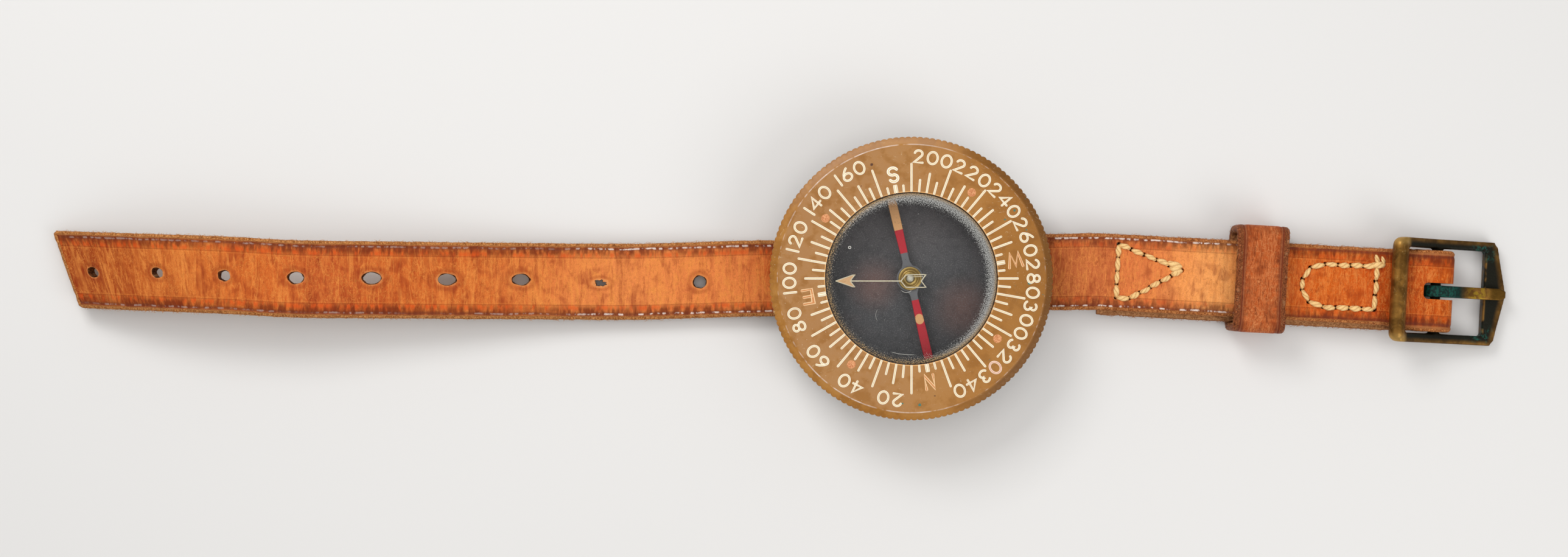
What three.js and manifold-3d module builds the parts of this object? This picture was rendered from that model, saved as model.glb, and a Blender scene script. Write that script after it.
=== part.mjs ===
// A liquid-filled wrist compass on a leather strap, laid out flat with its dial facing up.
// Millimetres. +Z is up out of the dial, +X runs along the strap towards the buckle, and the
// origin is the centre of the flat back cover, on the needle's axis.
import * as THREE from "three";
import { mergeVertices } from "three/addons/utils/BufferGeometryUtils.js";
import Module from "manifold-3d";

const wasm = await Module();
wasm.setup();

// Clearances that the fits share
const seat = 0.1;
const slack = 0.3;
const overrun = 2;
const weld = 1e-4;
const quarterTurn = Math.PI / 2;
const fullTurn = Math.PI * 2;

// Driving dimensions
const leather = {
  thickness: 2.1,
  width: 15.4,
  underWidth: 16.4,
  foldWidth: 16.4,
  edgeRound: 0.35,
  layerGap: 0.3,
  drift: 1.3,
  upperShift: 0.3,
  underShift: -0.2,
};
const backCover = { radius: 22.4, thickness: 1.8, chamfer: 0.5 };
const tunnel = { sideRoom: 1.5, heightRoom: 0.25 };
const caseBody = {
  footRadius: 22.8,
  skirtRadius: 26.2,
  skirtHeight: 5.9,
  skirtLip: 1,
  floor: 1.5,
  wall: 1.5,
  wallRadius: 23.5,
  grooveDepth: 0.9,
};
const bowl = { height: 9.2, floor: 1.2, wall: 0.7, ledge: 2, ledgeDrop: 2.1, cornerRadius: 1.5 };
const gasket = { thickness: 0.5, width: 1.6 };
const crystal = { flange: 0.7, wall: 1.3, thickness: 1.6, domeRise: 1.7, proud: 0.3 };
const clampRing = { thickness: 0.7, width: 3 };
const bezel = {
  tipRadius: 28,
  toothDepth: 0.42,
  teeth: 144,
  faceRadius: 26.4,
  bevelDrop: 0.8,
  openingRadius: 17,
  web: 1.2,
  skirt: 6.2,
  running: 0.4,
};
const graduation = {
  step: 5,
  width: 0.4,
  depth: 0.2,
  long: 5.8,
  medium: 4.15,
  short: 2.7,
  cardinal: 1.6,
  northAngle: -80,
};
const lumeDot = { radius: 0.82, depth: 0.5, orbit: 20.65, bearings: [45, 135, 225, 315] };
const retainer = { thickness: 0.6, width: 1.5, bite: 0.7, openShare: 0.06 };
const waveSpring = { thickness: 0.25, waves: 4, swing: 0.22, room: 0.9 };
const post = { flangeRadius: 1.8, flange: 0.4, radius: 1.1, taper: 0.2, height: 1.6, spigotRadius: 0.8, spigot: 0.6 };
const pin = { radius: 0.35, bury: 0.8, rise: 1.9, point: 1 };
const needle = {
  thickness: 0.5,
  tailLength: 16.1,
  northLength: 16.4,
  endWidth: 1.8,
  neckWidth: 1.45,
  hubRadius: 2.65,
  angle: 103.2,
};
const cap = { radius: 2.35, lip: 0.35, rim: 0.5, boss: 0.6, bossRadius: 1.35, shankRadius: 1.15, shank: 0.8 };
const jewel = { radius: 0.75, height: 1.75, coneRadius: 0.5, coneDepth: 1 };
const pivotGap = 0.15;
const fillPlug = { orbit: 13, headRadius: 1.5, head: 0.5, shankRadius: 0.9 };
const coverScrew = { orbit: 17, headRadius: 1.6, head: 0.9, shankRadius: 0.8, length: 4.6, slotWidth: 0.4, slotDepth: 0.35 };
const indexArrow = {
  thickness: 0.2,
  tip: 14.9,
  headLength: 3.8,
  headHalf: 1.35,
  notch: 1.05,
  lineWidth: 0.26,
  offset: 0.5,
  fletchStart: 2.1,
  fletchShoulder: 1.1,
  fletchEnd: 2.8,
  fletchNotch: 0.95,
  fletchHalf: 1.25,
};

// The strap's free run. Its heights are those of the leather's middle above the table.
const tail = {
  length: 149,
  crest: 11.6,
  linePlaceShares: [0, 0.04, 0.15, 0.3, 0.5, 0.71, 0.855, 1],
  lineShares: [0, 0, -0.03, 0.09, 0.58, 1, 0.75, -0.2],
  tipCut: 6.3,
  holeRadius: 1.3,
  stretched: 1.45,
  holeShares: [0.937, 0.842, 0.751, 0.657, 0.558, 0.459, 0.361, 0.254, 0.119],
  holeDrift: 0.4,
  holeDriftShares: [-1, 0, -0.25, 0.5, 0.9, 0.5, 0.75, -0.75, -1],
  wornHoleShares: [0, 0, 0, 0.45, 1, 0.9, 0.8, 0.5, 0.1],
  sway: 2,
  swayPlaceShares: [0, 0.05, 0.135, 0.22, 0.38, 0.54, 0.66, 0.742, 0.83, 0.92, 1],
  swayShares: [0, 0, -0.185, -0.335, -0.25, -0.15, -0.03, 0.3, 0.55, 0.775, 1],
};

// The run to the buckle, folded back under itself
const fold = {
  riseLength: 12.5,
  underStart: 38.6,
  triangleBase: 42,
  triangleHigh: 6,
  triangleLow: -4.75,
  triangleReach: 12.9,
  triangleTip: 1.4,
  keeperGap: 10.3,
  boxGap: 3.9,
  boxLength: 14.7,
  boxHalf: 4.3,
  boxShift: -0.05,
  boxShoulder: 4.4,
  pinGap: 12.7,
  slotWidth: 3.3,
  slotReach: 3.2,
  slotCorner: 0.8,
  spread: 11,
  turnStart: 30,
  turnLength: 10,
  turn: -3.1,
};
const stitch = { pitch: 2.65, radius: 0.42, lift: 0.06, legRadius: 0.3, holeRadius: 0.5 };
const keeper = {
  width: 10.2,
  thickness: 1.75,
  innerHalf: 9.05,
  headRoom: 2.6,
  underRoom: 0.4,
  outerCorner: 2.4,
  innerCorner: 0.5,
  shift: 0.5,
};
const buckle = {
  barRadius: 1.65,
  barOverStrap: 0.6,
  barReach: 8.6,
  sideRoom: 0.4,
  rail: 1.9,
  height: 2.5,
  noseReach: 12.7,
  nosePoint: 2.1,
  noseDepth: 2.6,
  noseHeight: 1.65,
  pinRadius: 1.05,
  cornerRadius: 1,
};
const prong = { width: 2.35, thickness: 1.1, running: 0.25, wrap: 1, tipReach: 14.2, tipPoint: 0.8, rest: 0.3 };

// Facets of round parts
const fine = 60;
const medium = 40;
const coarse = 16;
const pinFacets = 12;
const domeSteps = 3;
const awlFacets = 4;
const beadFacets = 6;

// Materials
const paint = (color, roughness, metalness = 0) => new THREE.MeshStandardMaterial({ color, roughness, metalness });
const brownPlastic = paint(0x8a5a24, 0.42);
const darkPlastic = paint(0x5a3c1c, 0.5);
const blackPlastic = paint(0x15151a, 0.4);
const clearPlastic = new THREE.MeshStandardMaterial({ color: 0xdfe8ea, roughness: 0.08, transparent: true, opacity: 0.3 });
const rubber = paint(0x1a1a1a, 0.8);
const brass = paint(0xb08d3c, 0.3, 1);
const agedBrass = paint(0x5e4f26, 0.45, 1);
const steel = paint(0x9a9ca0, 0.3, 1);
const redSteel = paint(0xa01c2c, 0.5);
const glass = paint(0xb8c4c4, 0.1);
const lume = paint(0xc98a5a, 0.8);
const cream = paint(0xe6d3a4, 0.6);
const tanLeather = paint(0xb5622a, 0.6);
const brownLeather = paint(0x8a4320, 0.65);
const thread = paint(0xd9b074, 0.8);

// Turns a closed three.js geometry into a solid that can be joined and cut.
function solid(geometry) {
  const bare = geometry.clone();
  bare.deleteAttribute("normal");
  bare.deleteAttribute("uv");
  const merged = mergeVertices(bare, weld);
  const index = merged.index.array;
  const kept = [];
  for (let i = 0; i < index.length; i += 3) {
    const [a, b, c] = [index[i], index[i + 1], index[i + 2]];
    if (a !== b && b !== c && c !== a) kept.push(a, b, c);
  }
  const mesh = new wasm.Mesh({
    numProp: 3,
    vertProperties: new Float32Array(merged.attributes.position.array),
    triVerts: new Uint32Array(kept),
  });
  return new wasm.Manifold(mesh);
}

// The geometry of a solid.
function geometryOf(body) {
  const { numProp, numVert, vertProperties, triVerts } = body.getMesh();
  const positions = new Float32Array(numVert * 3);
  for (let i = 0; i < numVert; i++) positions.set(vertProperties.subarray(i * numProp, i * numProp + 3), i * 3);
  const geometry = new THREE.BufferGeometry();
  geometry.setAttribute("position", new THREE.BufferAttribute(positions, 3));
  geometry.setIndex(new THREE.BufferAttribute(new Uint32Array(triVerts), 1));
  geometry.computeVertexNormals();
  return geometry;
}

const joined = (bodies) => bodies.reduce((whole, body) => whole.add(body));
const v2 = (x, y) => new THREE.Vector2(x, y);
const radians = THREE.MathUtils.degToRad;

// A solid turned about Z from a profile of [radius, height] points.
function turned(points, segments = medium) {
  const profile = points.map(([r, z]) => v2(r, z));
  const onAxis = points[0][0] === 0 && points.at(-1)[0] === 0;
  if (THREE.ShapeUtils.area(profile) < 0) profile.reverse();
  if (!onAxis) profile.push(profile[0].clone());
  return solid(new THREE.LatheGeometry(profile, segments).rotateX(quarterTurn));
}

const ring = (inner, outer, low, high, segments) =>
  turned([[inner, low], [outer, low], [outer, high], [inner, high]], segments);
const disc = (radius, low, high, segments) => turned([[0, low], [radius, low], [radius, high], [0, high]], segments);

// A plan outline, in X and Y, raised from one height to another.
const raised = (shape, low, high) =>
  solid(new THREE.ExtrudeGeometry(shape, { depth: high - low, bevelEnabled: false }).translate(0, 0, low));

// A side outline, in X and Z, spread across a width that is centred on Y.
function spread(shape, width, bevel = 0) {
  const options = bevel
    ? { depth: width - 2 * bevel, bevelSize: bevel, bevelThickness: bevel, bevelOffset: -bevel, bevelSegments: 1 }
    : { depth: width, bevelEnabled: false };
  const geometry = new THREE.ExtrudeGeometry(shape, options);
  return solid(geometry.rotateX(quarterTurn).translate(0, width / 2 - bevel, 0));
}

const block = (x0, x1, y0, y1, z0, z1) =>
  solid(new THREE.BoxGeometry(x1 - x0, y1 - y0, z1 - z0).translate((x0 + x1) / 2, (y0 + y1) / 2, (z0 + z1) / 2));
const placed = (body, x, y, z) => body.translate([x, y, z]);

// The two sides of a strip of leather that follows a middle line drawn in X and Z.
function sidesOf(line, half, steps) {
  const points = line.getPoints(steps);
  const above = [];
  const below = [];
  points.forEach((p, i) => {
    const before = points[Math.max(i - 1, 0)];
    const after = points[Math.min(i + 1, points.length - 1)];
    const normal = v2(before.y - after.y, after.x - before.x).normalize();
    above.push(p.clone().addScaledVector(normal, half));
    below.push(p.clone().addScaledVector(normal, -half));
  });
  return { above, below };
}

const root = new THREE.Group();
root.name = "wrist_compass";

// Adds a named piece to a group.
function piece(name, body, material, group = root) {
  const mesh = new THREE.Mesh(geometryOf(body), material);
  mesh.name = name;
  group.add(mesh);
  return mesh;
}

// Heights of the stack, from the back cover up
const strapLow = backCover.thickness + tunnel.heightRoom;
const strapMid = strapLow + leather.thickness / 2;
const caseLow = backCover.thickness + seat;
const tunnelTop = strapLow + leather.thickness + tunnel.heightRoom;
const caseFloorTop = tunnelTop + caseBody.floor;
const bowlLow = caseFloorTop + slack;
const bowlFloorTop = bowlLow + bowl.floor;
const bowlTop = bowlLow + bowl.height;
const ledgeTop = bowlTop - bowl.ledgeDrop;
const gasketLow = ledgeTop + seat;
const flangeLow = gasketLow + gasket.thickness + seat;
const flangeTop = flangeLow + crystal.flange;
const clampLow = flangeTop + seat;
const clampTop = clampLow + clampRing.thickness;
const webLow = Math.max(clampTop, bowlTop) + slack;
const faceHeight = webLow + bezel.web;
const bezelLow = webLow - (bezel.skirt - bezel.web);
const skirtTop = bezelLow - bezel.running;
const wallTop = webLow - waveSpring.room;

// Radii of the same stack, from the case wall in
const caseInner = caseBody.wallRadius - caseBody.wall;
const bowlOuter = caseInner - bezel.running;
const bowlInner = bowlOuter - bowl.wall;
const chamberRadius = bowlInner - bowl.ledge;
const crystalNeck = bezel.openingRadius - bezel.running;
const bezelBore = caseBody.wallRadius + bezel.running;
const grooveLow = bezelLow + retainer.thickness * 2;
const grooveTop = grooveLow + retainer.thickness + slack;

// Back cover and its screws
const screwPlaces = [45, 135, 225, 315].map((angle) => [
  coverScrew.orbit * Math.cos(radians(angle)),
  coverScrew.orbit * Math.sin(radians(angle)),
]);
const screwHole = turned(
  [
    [0, -overrun],
    [coverScrew.headRadius + seat, -overrun],
    [coverScrew.headRadius + seat, seat],
    [coverScrew.shankRadius + seat, seat + coverScrew.head],
    [coverScrew.shankRadius + seat, seat * 2 + coverScrew.length],
    [0, seat * 2 + coverScrew.length],
  ],
  coarse,
);
const screwHoles = joined(screwPlaces.map(([x, y]) => placed(screwHole, x, y, 0)));
const coverBlank = turned([
  [0, 0],
  [backCover.radius - backCover.chamfer, 0],
  [backCover.radius, backCover.chamfer],
  [backCover.radius, backCover.thickness],
  [0, backCover.thickness],
], fine);
piece("back_cover", coverBlank.subtract(screwHoles), brownPlastic);

const screwBlank = turned(
  [
    [0, seat],
    [coverScrew.headRadius, seat],
    [coverScrew.shankRadius, seat + coverScrew.head],
    [coverScrew.shankRadius, seat + coverScrew.length],
    [0, seat + coverScrew.length],
  ],
  coarse,
);
const screwSlot = block(
  -coverScrew.headRadius - overrun,
  coverScrew.headRadius + overrun,
  -coverScrew.slotWidth / 2,
  coverScrew.slotWidth / 2,
  -overrun,
  seat + coverScrew.slotDepth,
);
screwPlaces.forEach(([x, y], i) =>
  piece(`cover_screw_${i + 1}`, screwBlank.subtract(screwSlot.rotate([0, 0, i * 40])), brass).position.set(x, y, 0),
);

// Case body, with the tunnel that the strap runs through and the groove of the snap ring
const shoulder = skirtTop - caseBody.skirtLip;
const caseBlank = turned(
  [
    [0, caseLow],
    [caseBody.footRadius, caseLow],
    [caseBody.footRadius + seat, tunnelTop],
    [caseBody.skirtRadius, shoulder],
    [caseBody.skirtRadius, skirtTop],
    [caseBody.wallRadius, skirtTop],
    [caseBody.wallRadius, grooveLow],
    [caseBody.wallRadius - caseBody.grooveDepth, grooveLow],
    [caseBody.wallRadius - caseBody.grooveDepth, grooveTop],
    [caseBody.wallRadius, grooveTop],
    [caseBody.wallRadius, wallTop],
    [caseInner, wallTop],
    [caseInner, caseFloorTop],
    [0, caseFloorTop],
  ],
  medium,
);
const tunnelHalf = leather.width / 2 + tunnel.sideRoom;
const tunnelCut = block(
  -caseBody.skirtRadius - overrun,
  caseBody.skirtRadius + overrun,
  -tunnelHalf,
  tunnelHalf,
  -overrun,
  tunnelTop,
);
piece("case_body", caseBlank.subtract(tunnelCut).subtract(screwHoles), darkPlastic);

// The snap ring that keeps the bezel on the case
const snapInner = caseBody.wallRadius - retainer.bite;
const snapLow = grooveLow + slack / 2;
const snapBlank = ring(snapInner, snapInner + retainer.width, snapLow, snapLow + retainer.thickness);
const snapSplit = block(
  0,
  bezel.tipRadius,
  -bezel.tipRadius * retainer.openShare,
  bezel.tipRadius * retainer.openShare,
  snapLow - overrun,
  snapLow + retainer.thickness + overrun,
);
piece("bezel_snap_ring", snapBlank.subtract(snapSplit.rotate([0, 0, 90])), steel);

// A waved ring under the bezel, which holds the bezel where it is set
function wavedRing(inner, outer, middle, thickness, swing, waves, segments) {
  const geometry = new THREE.LatheGeometry(
    [v2(inner, -thickness / 2), v2(outer, -thickness / 2), v2(outer, thickness / 2), v2(inner, thickness / 2),
      v2(inner, -thickness / 2)],
    segments,
  ).rotateX(quarterTurn);
  const at = geometry.attributes.position;
  for (let i = 0; i < at.count; i++) {
    const angle = Math.atan2(at.getY(i), at.getX(i));
    at.setZ(i, at.getZ(i) + middle + swing * Math.cos(waves * angle));
  }
  return solid(geometry);
}
const springMiddle = wallTop + waveSpring.room / 2;
piece(
  "bezel_wave_spring",
  wavedRing(
    caseInner + seat,
    caseBody.wallRadius - seat,
    springMiddle,
    waveSpring.thickness,
    waveSpring.swing,
    waveSpring.waves,
    medium,
  ),
  steel,
);

// Bowl of the liquid capsule, with its filler hole and the socket of the pivot post
const bowlBlank = turned(
  [
    [0, bowlLow],
    [bowlOuter, bowlLow],
    [bowlOuter, bowlTop],
    [bowlInner, bowlTop],
    [bowlInner, ledgeTop],
    [chamberRadius, ledgeTop],
    [chamberRadius, bowlFloorTop + bowl.cornerRadius],
    [chamberRadius - bowl.cornerRadius, bowlFloorTop],
    [0, bowlFloorTop],
  ],
  medium,
);
const plugHole = turned(
  [
    [0, -overrun],
    [fillPlug.headRadius + seat, -overrun],
    [fillPlug.headRadius + seat, bowlLow + seat + fillPlug.head],
    [fillPlug.shankRadius + seat, bowlLow + seat + fillPlug.head],
    [fillPlug.shankRadius + seat, bowlFloorTop + overrun],
    [0, bowlFloorTop + overrun],
  ],
  pinFacets,
);
const spigotSocket = disc(post.spigotRadius + seat, bowlFloorTop - post.spigot - seat, bowlFloorTop + overrun, pinFacets);
piece("bowl", bowlBlank.subtract(placed(plugHole, fillPlug.orbit, 0, 0)).subtract(spigotSocket), blackPlastic);

const plugBlank = turned(
  [
    [0, bowlLow + seat / 2],
    [fillPlug.headRadius, bowlLow + seat / 2],
    [fillPlug.headRadius, bowlLow + seat / 2 + fillPlug.head],
    [fillPlug.shankRadius, bowlLow + seat / 2 + fillPlug.head],
    [fillPlug.shankRadius, bowlFloorTop],
    [0, bowlFloorTop],
  ],
  pinFacets,
);
const plugSlot = block(
  -fillPlug.headRadius - overrun,
  fillPlug.headRadius + overrun,
  -coverScrew.slotWidth / 2,
  coverScrew.slotWidth / 2,
  bowlLow - overrun,
  bowlLow + seat + fillPlug.head / 2,
);
piece("filler_plug", plugBlank.subtract(plugSlot), brass).position.x = fillPlug.orbit;

// Pivot post and its hard point, which the needle's jewel sits on
const postLow = bowlFloorTop + seat;
const postTop = postLow + post.flange + post.height;
const pinLow = postTop - pin.bury;
const pinTop = postTop + pin.rise;
const postBlank = turned(
  [
    [0, bowlFloorTop - post.spigot],
    [post.spigotRadius, bowlFloorTop - post.spigot],
    [post.spigotRadius, postLow],
    [post.flangeRadius, postLow],
    [post.flangeRadius, postLow + post.flange],
    [post.radius, postLow + post.flange],
    [post.radius - post.taper, postTop],
    [0, postTop],
  ],
  pinFacets,
);
piece("pivot_post", postBlank.subtract(disc(pin.radius + seat, pinLow - seat, postTop + overrun, pinFacets)), brass);
piece(
  "pivot_pin",
  turned([[0, pinLow], [pin.radius, pinLow], [pin.radius, pinTop - pin.point], [0, pinTop]], pinFacets),
  steel,
);

// Needle, with a brass cap in its hub and the jewel inside the cap
const jewelLow = pinTop + pivotGap - jewel.coneDepth;
const capLow = jewelLow + seat;
const needleLow = capLow + cap.shank - needle.thickness;
const capSeat = needleLow + needle.thickness + seat / 2;
const compassNeedle = new THREE.Group();
compassNeedle.rotation.z = radians(needle.angle);
root.add(compassNeedle);

function needleOutline() {
  const end = needle.endWidth / 2;
  const neck = needle.neckWidth / 2;
  const neckReach = Math.sqrt(needle.hubRadius ** 2 - neck ** 2);
  const neckAngle = Math.asin(neck / needle.hubRadius);
  const shape = new THREE.Shape();
  shape.moveTo(needle.tailLength, -end);
  shape.lineTo(needle.tailLength, end);
  shape.lineTo(neckReach, neck);
  shape.absarc(0, 0, needle.hubRadius, neckAngle, Math.PI - neckAngle);
  shape.lineTo(-needle.northLength, end);
  shape.lineTo(-needle.northLength, -end);
  shape.lineTo(-neckReach, -neck);
  shape.absarc(0, 0, needle.hubRadius, Math.PI + neckAngle, fullTurn - neckAngle);
  shape.closePath();
  return shape;
}
const hubBore = disc(cap.shankRadius + seat, needleLow - overrun, needleLow + needle.thickness + overrun, coarse);
const needleBody = raised(needleOutline(), needleLow, needleLow + needle.thickness);
piece("needle", needleBody.subtract(hubBore), redSteel, compassNeedle);

const capTop = capSeat + cap.rim;
const capInner = jewel.radius + seat;
piece(
  "needle_cap",
  turned(
    [
      [capInner, capLow],
      [cap.shankRadius, capLow],
      [cap.shankRadius, capSeat],
      [cap.radius, capSeat],
      [cap.radius, capTop],
      [cap.radius - cap.lip, capTop],
      [cap.bossRadius + cap.lip / 2, capTop - cap.rim / 2],
      [cap.bossRadius, capTop + cap.boss / 2],
      [capInner + seat, capTop + cap.boss / 2],
      [capInner, capTop],
    ],
    coarse,
  ),
  brass,
  compassNeedle,
);
piece(
  "needle_jewel",
  turned(
    [
      [0, jewelLow + jewel.coneDepth],
      [jewel.coneRadius, jewelLow],
      [jewel.radius, jewelLow],
      [jewel.radius, jewelLow + jewel.height - seat],
      [jewel.radius - seat, jewelLow + jewel.height],
      [0, jewelLow + jewel.height],
    ],
    pinFacets,
  ),
  glass,
  compassNeedle,
);

// Crystal: a flanged dome that shuts the capsule, on a gasket and under a clamp ring
const flangeRadius = bowlInner - seat;
const domeEdge = faceHeight + crystal.proud;
const domeRadius = (crystalNeck ** 2 + crystal.domeRise ** 2) / (2 * crystal.domeRise);
const domeCentre = domeEdge + crystal.domeRise - domeRadius;
const innerDomeRadius = domeRadius - crystal.thickness;
const innerEdge = crystalNeck - crystal.wall;

// Points of a dome from its rim to the axis.
function domeArc(radius, edge) {
  const start = Math.asin(edge / radius);
  return Array.from({ length: domeSteps + 1 }, (_, i) => {
    const angle = start * (1 - i / domeSteps);
    return [i === domeSteps ? 0 : radius * Math.sin(angle), domeCentre + radius * Math.cos(angle)];
  });
}
const crystalProfile = [
  ...domeArc(innerDomeRadius, innerEdge).reverse(),
  [innerEdge, flangeLow],
  [flangeRadius, flangeLow],
  [flangeRadius, flangeTop],
  [crystalNeck, flangeTop],
  ...domeArc(domeRadius, crystalNeck),
];
piece("crystal", turned(crystalProfile, medium), clearPlastic);
const gasketInner = chamberRadius + seat;
piece("crystal_gasket", ring(gasketInner, gasketInner + gasket.width, gasketLow, gasketLow + gasket.thickness), rubber);
const clampOuter = flangeRadius;
const clampInner = clampOuter - clampRing.width;
const spannerNotches = joined(
  [0, 90].map((angle) =>
    block(
      -clampOuter - overrun,
      clampOuter + overrun,
      -clampRing.thickness,
      clampRing.thickness,
      clampLow + clampRing.thickness / 2,
      clampTop + overrun,
    ).rotate([0, 0, angle]),
  ),
);
const clampBlank = ring(clampInner, clampOuter, clampLow, clampTop);
piece("crystal_clamp_ring", clampBlank.subtract(spannerNotches), brass);

// Fixed index arrow, laid under the dome and pointing away from the buckle
function arrowOutline() {
  const a = indexArrow;
  const half = a.lineWidth / 2;
  const shape = new THREE.Shape();
  const headBack = -a.tip + a.headLength;
  const notch = headBack - a.notch;
  shape.moveTo(-a.tip, 0);
  shape.lineTo(headBack, -a.headHalf);
  shape.lineTo(notch, -half);
  shape.lineTo(-a.fletchStart - half, -half);
  shape.lineTo(-a.fletchShoulder, -a.fletchHalf);
  shape.lineTo(a.fletchEnd, -a.fletchHalf);
  shape.lineTo(a.fletchEnd - a.fletchNotch, 0);
  shape.lineTo(a.fletchEnd, a.fletchHalf);
  shape.lineTo(-a.fletchShoulder, a.fletchHalf);
  shape.lineTo(-a.fletchStart - half, half);
  shape.lineTo(notch, half);
  shape.lineTo(headBack, a.headHalf);
  shape.closePath();
  const inside = new THREE.Path();
  const inset = a.lineWidth;
  inside.moveTo(-a.fletchStart + inset, 0);
  inside.lineTo(-a.fletchShoulder + inset / 2, a.fletchHalf - inset);
  inside.lineTo(a.fletchEnd - inset * 2, a.fletchHalf - inset);
  inside.lineTo(a.fletchEnd - a.fletchNotch - inset, 0);
  inside.lineTo(a.fletchEnd - inset * 2, -a.fletchHalf + inset);
  inside.lineTo(-a.fletchShoulder + inset / 2, -a.fletchHalf + inset);
  inside.closePath();
  shape.holes.push(inside);
  return shape;
}
const shellOuter = innerDomeRadius - seat;
const shell = turned([...domeArc(shellOuter, innerEdge), [0, flangeLow], [innerEdge, flangeLow]].reverse(), medium).subtract(
  turned([...domeArc(shellOuter - indexArrow.thickness, innerEdge), [0, 0], [innerEdge, 0]].reverse(), medium),
);
const arrowBody = raised(arrowOutline(), 0, domeEdge + crystal.domeRise).intersect(shell);
piece("index_arrow", placed(arrowBody, 0, -indexArrow.offset, 0), cream);

// Bezel: toothed rim, engraved scale, and wells for the luminous dots
function toothedOutline() {
  const shape = new THREE.Shape();
  for (let i = 0; i < bezel.teeth; i++) {
    [bezel.tipRadius, rootRadius].forEach((radius, half) => {
      const angle = ((i + half / 2) / bezel.teeth) * fullTurn;
      const [x, y] = [radius * Math.cos(angle), radius * Math.sin(angle)];
      if (i + half === 0) shape.moveTo(x, y);
      else shape.lineTo(x, y);
    });
  }
  shape.closePath();
  return shape;
}
const bevelLow = faceHeight - bezel.bevelDrop;
const rootRadius = bezel.tipRadius - bezel.toothDepth;
const bezelEnvelope = turned(
  [
    [bezel.openingRadius, webLow],
    [bezelBore, webLow],
    [bezelBore, grooveTop],
    [snapInner + retainer.width + slack, grooveTop],
    [snapInner + retainer.width + slack, grooveLow],
    [bezelBore, grooveLow],
    [bezelBore, bezelLow],
    [rootRadius - seat, bezelLow],
    [rootRadius - seat, bevelLow],
    [bezel.faceRadius, faceHeight],
    [bezel.openingRadius, faceHeight],
  ],
  medium,
);
const knurl = raised(toothedOutline(), bezelLow, bevelLow).subtract(
  disc(bezel.faceRadius, bezelLow - overrun, bevelLow + overrun, fine),
);
const bearingAngle = (bearing) => graduation.northAngle - bearing;

// The length of the mark at a bearing: short by the four points, long at odd tens.
function markLength(bearing) {
  const fromPoint = Math.abs(((bearing + 45) % 90) - 45);
  if (fromPoint <= graduation.step) return graduation.cardinal;
  if (bearing % 20 === 10) return graduation.long;
  return bearing % 20 === 0 ? graduation.medium : graduation.short;
}
const marks = [];
for (let bearing = 0; bearing < 360; bearing += graduation.step) {
  const isDot = lumeDot.bearings.includes(bearing);
  const reach = isDot ? lumeDot.orbit - bezel.openingRadius - lumeDot.radius - slack : markLength(bearing);
  const mark = block(
    bezel.openingRadius - overrun,
    bezel.openingRadius + reach,
    -graduation.width / 2,
    graduation.width / 2,
    faceHeight - graduation.depth,
    faceHeight + overrun,
  );
  marks.push(mark.rotate([0, 0, bearingAngle(bearing)]));
}
const dotWell = disc(lumeDot.radius + seat, faceHeight - lumeDot.depth - seat, faceHeight + overrun, coarse);
const dotPlaces = lumeDot.bearings.map((bearing) => {
  const angle = radians(bearingAngle(bearing));
  return { bearing, x: lumeDot.orbit * Math.cos(angle), y: lumeDot.orbit * Math.sin(angle) };
});
const engraved = joined([...marks, ...dotPlaces.map(({ x, y }) => placed(dotWell, x, y, 0))]);
piece("bezel", bezelEnvelope.add(knurl).subtract(engraved), brownPlastic);
dotPlaces.forEach(({ bearing, x, y }) =>
  piece(
    `lume_dot_${String(bearing).padStart(3, "0")}`,
    placed(disc(lumeDot.radius, faceHeight - lumeDot.depth, faceHeight - seat / 2, coarse), x, y, 0),
    lume,
  ),
);

// Strap: the stretch in the tunnel, and the free tail with its row of holes
const flexReach = caseBody.footRadius + leather.thickness / 2 + slack * 2;
const centreEnd = flexReach - leather.thickness / 2 - slack;
const half = leather.thickness / 2;
const centreBlank = block(
  -centreEnd,
  centreEnd,
  -leather.width / 2,
  leather.width / 2,
  strapLow,
  strapLow + leather.thickness,
);
const drifted = (body) =>
  body.warp((at) => {
    at[1] += (leather.drift * (at[0] + flexReach)) / (flexReach * 2);
  });
piece("strap_centre", drifted(centreBlank), tanLeather);

// Adds the round knuckle about which a run of strap bends at the case, as points from top to bottom.
const knuckleSteps = 8;
const knuckle = (x, side) =>
  Array.from({ length: knuckleSteps + 1 }, (_, i) => {
    const angle = quarterTurn - (i / knuckleSteps) * Math.PI;
    return v2(x + side * half * Math.cos(angle), strapMid + half * Math.sin(angle));
  });

const along = (share) => -flexReach - tail.length * share;
const tailLine = new THREE.SplineCurve(
  tail.linePlaceShares.map((share, i) => v2(along(share), strapMid + (tail.crest - strapMid) * tail.lineShares[i])).reverse(),
);
const tailSteps = 30;
const tailSides = sidesOf(tailLine, half, tailSteps);
const tailShape = new THREE.Shape([
  ...knuckle(-flexReach, 1),
  ...tailSides.below.slice(0, -1).reverse(),
  ...tailSides.above.slice(0, -1),
]);
const tailBlank = spread(tailShape, leather.width, leather.edgeRound);

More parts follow.
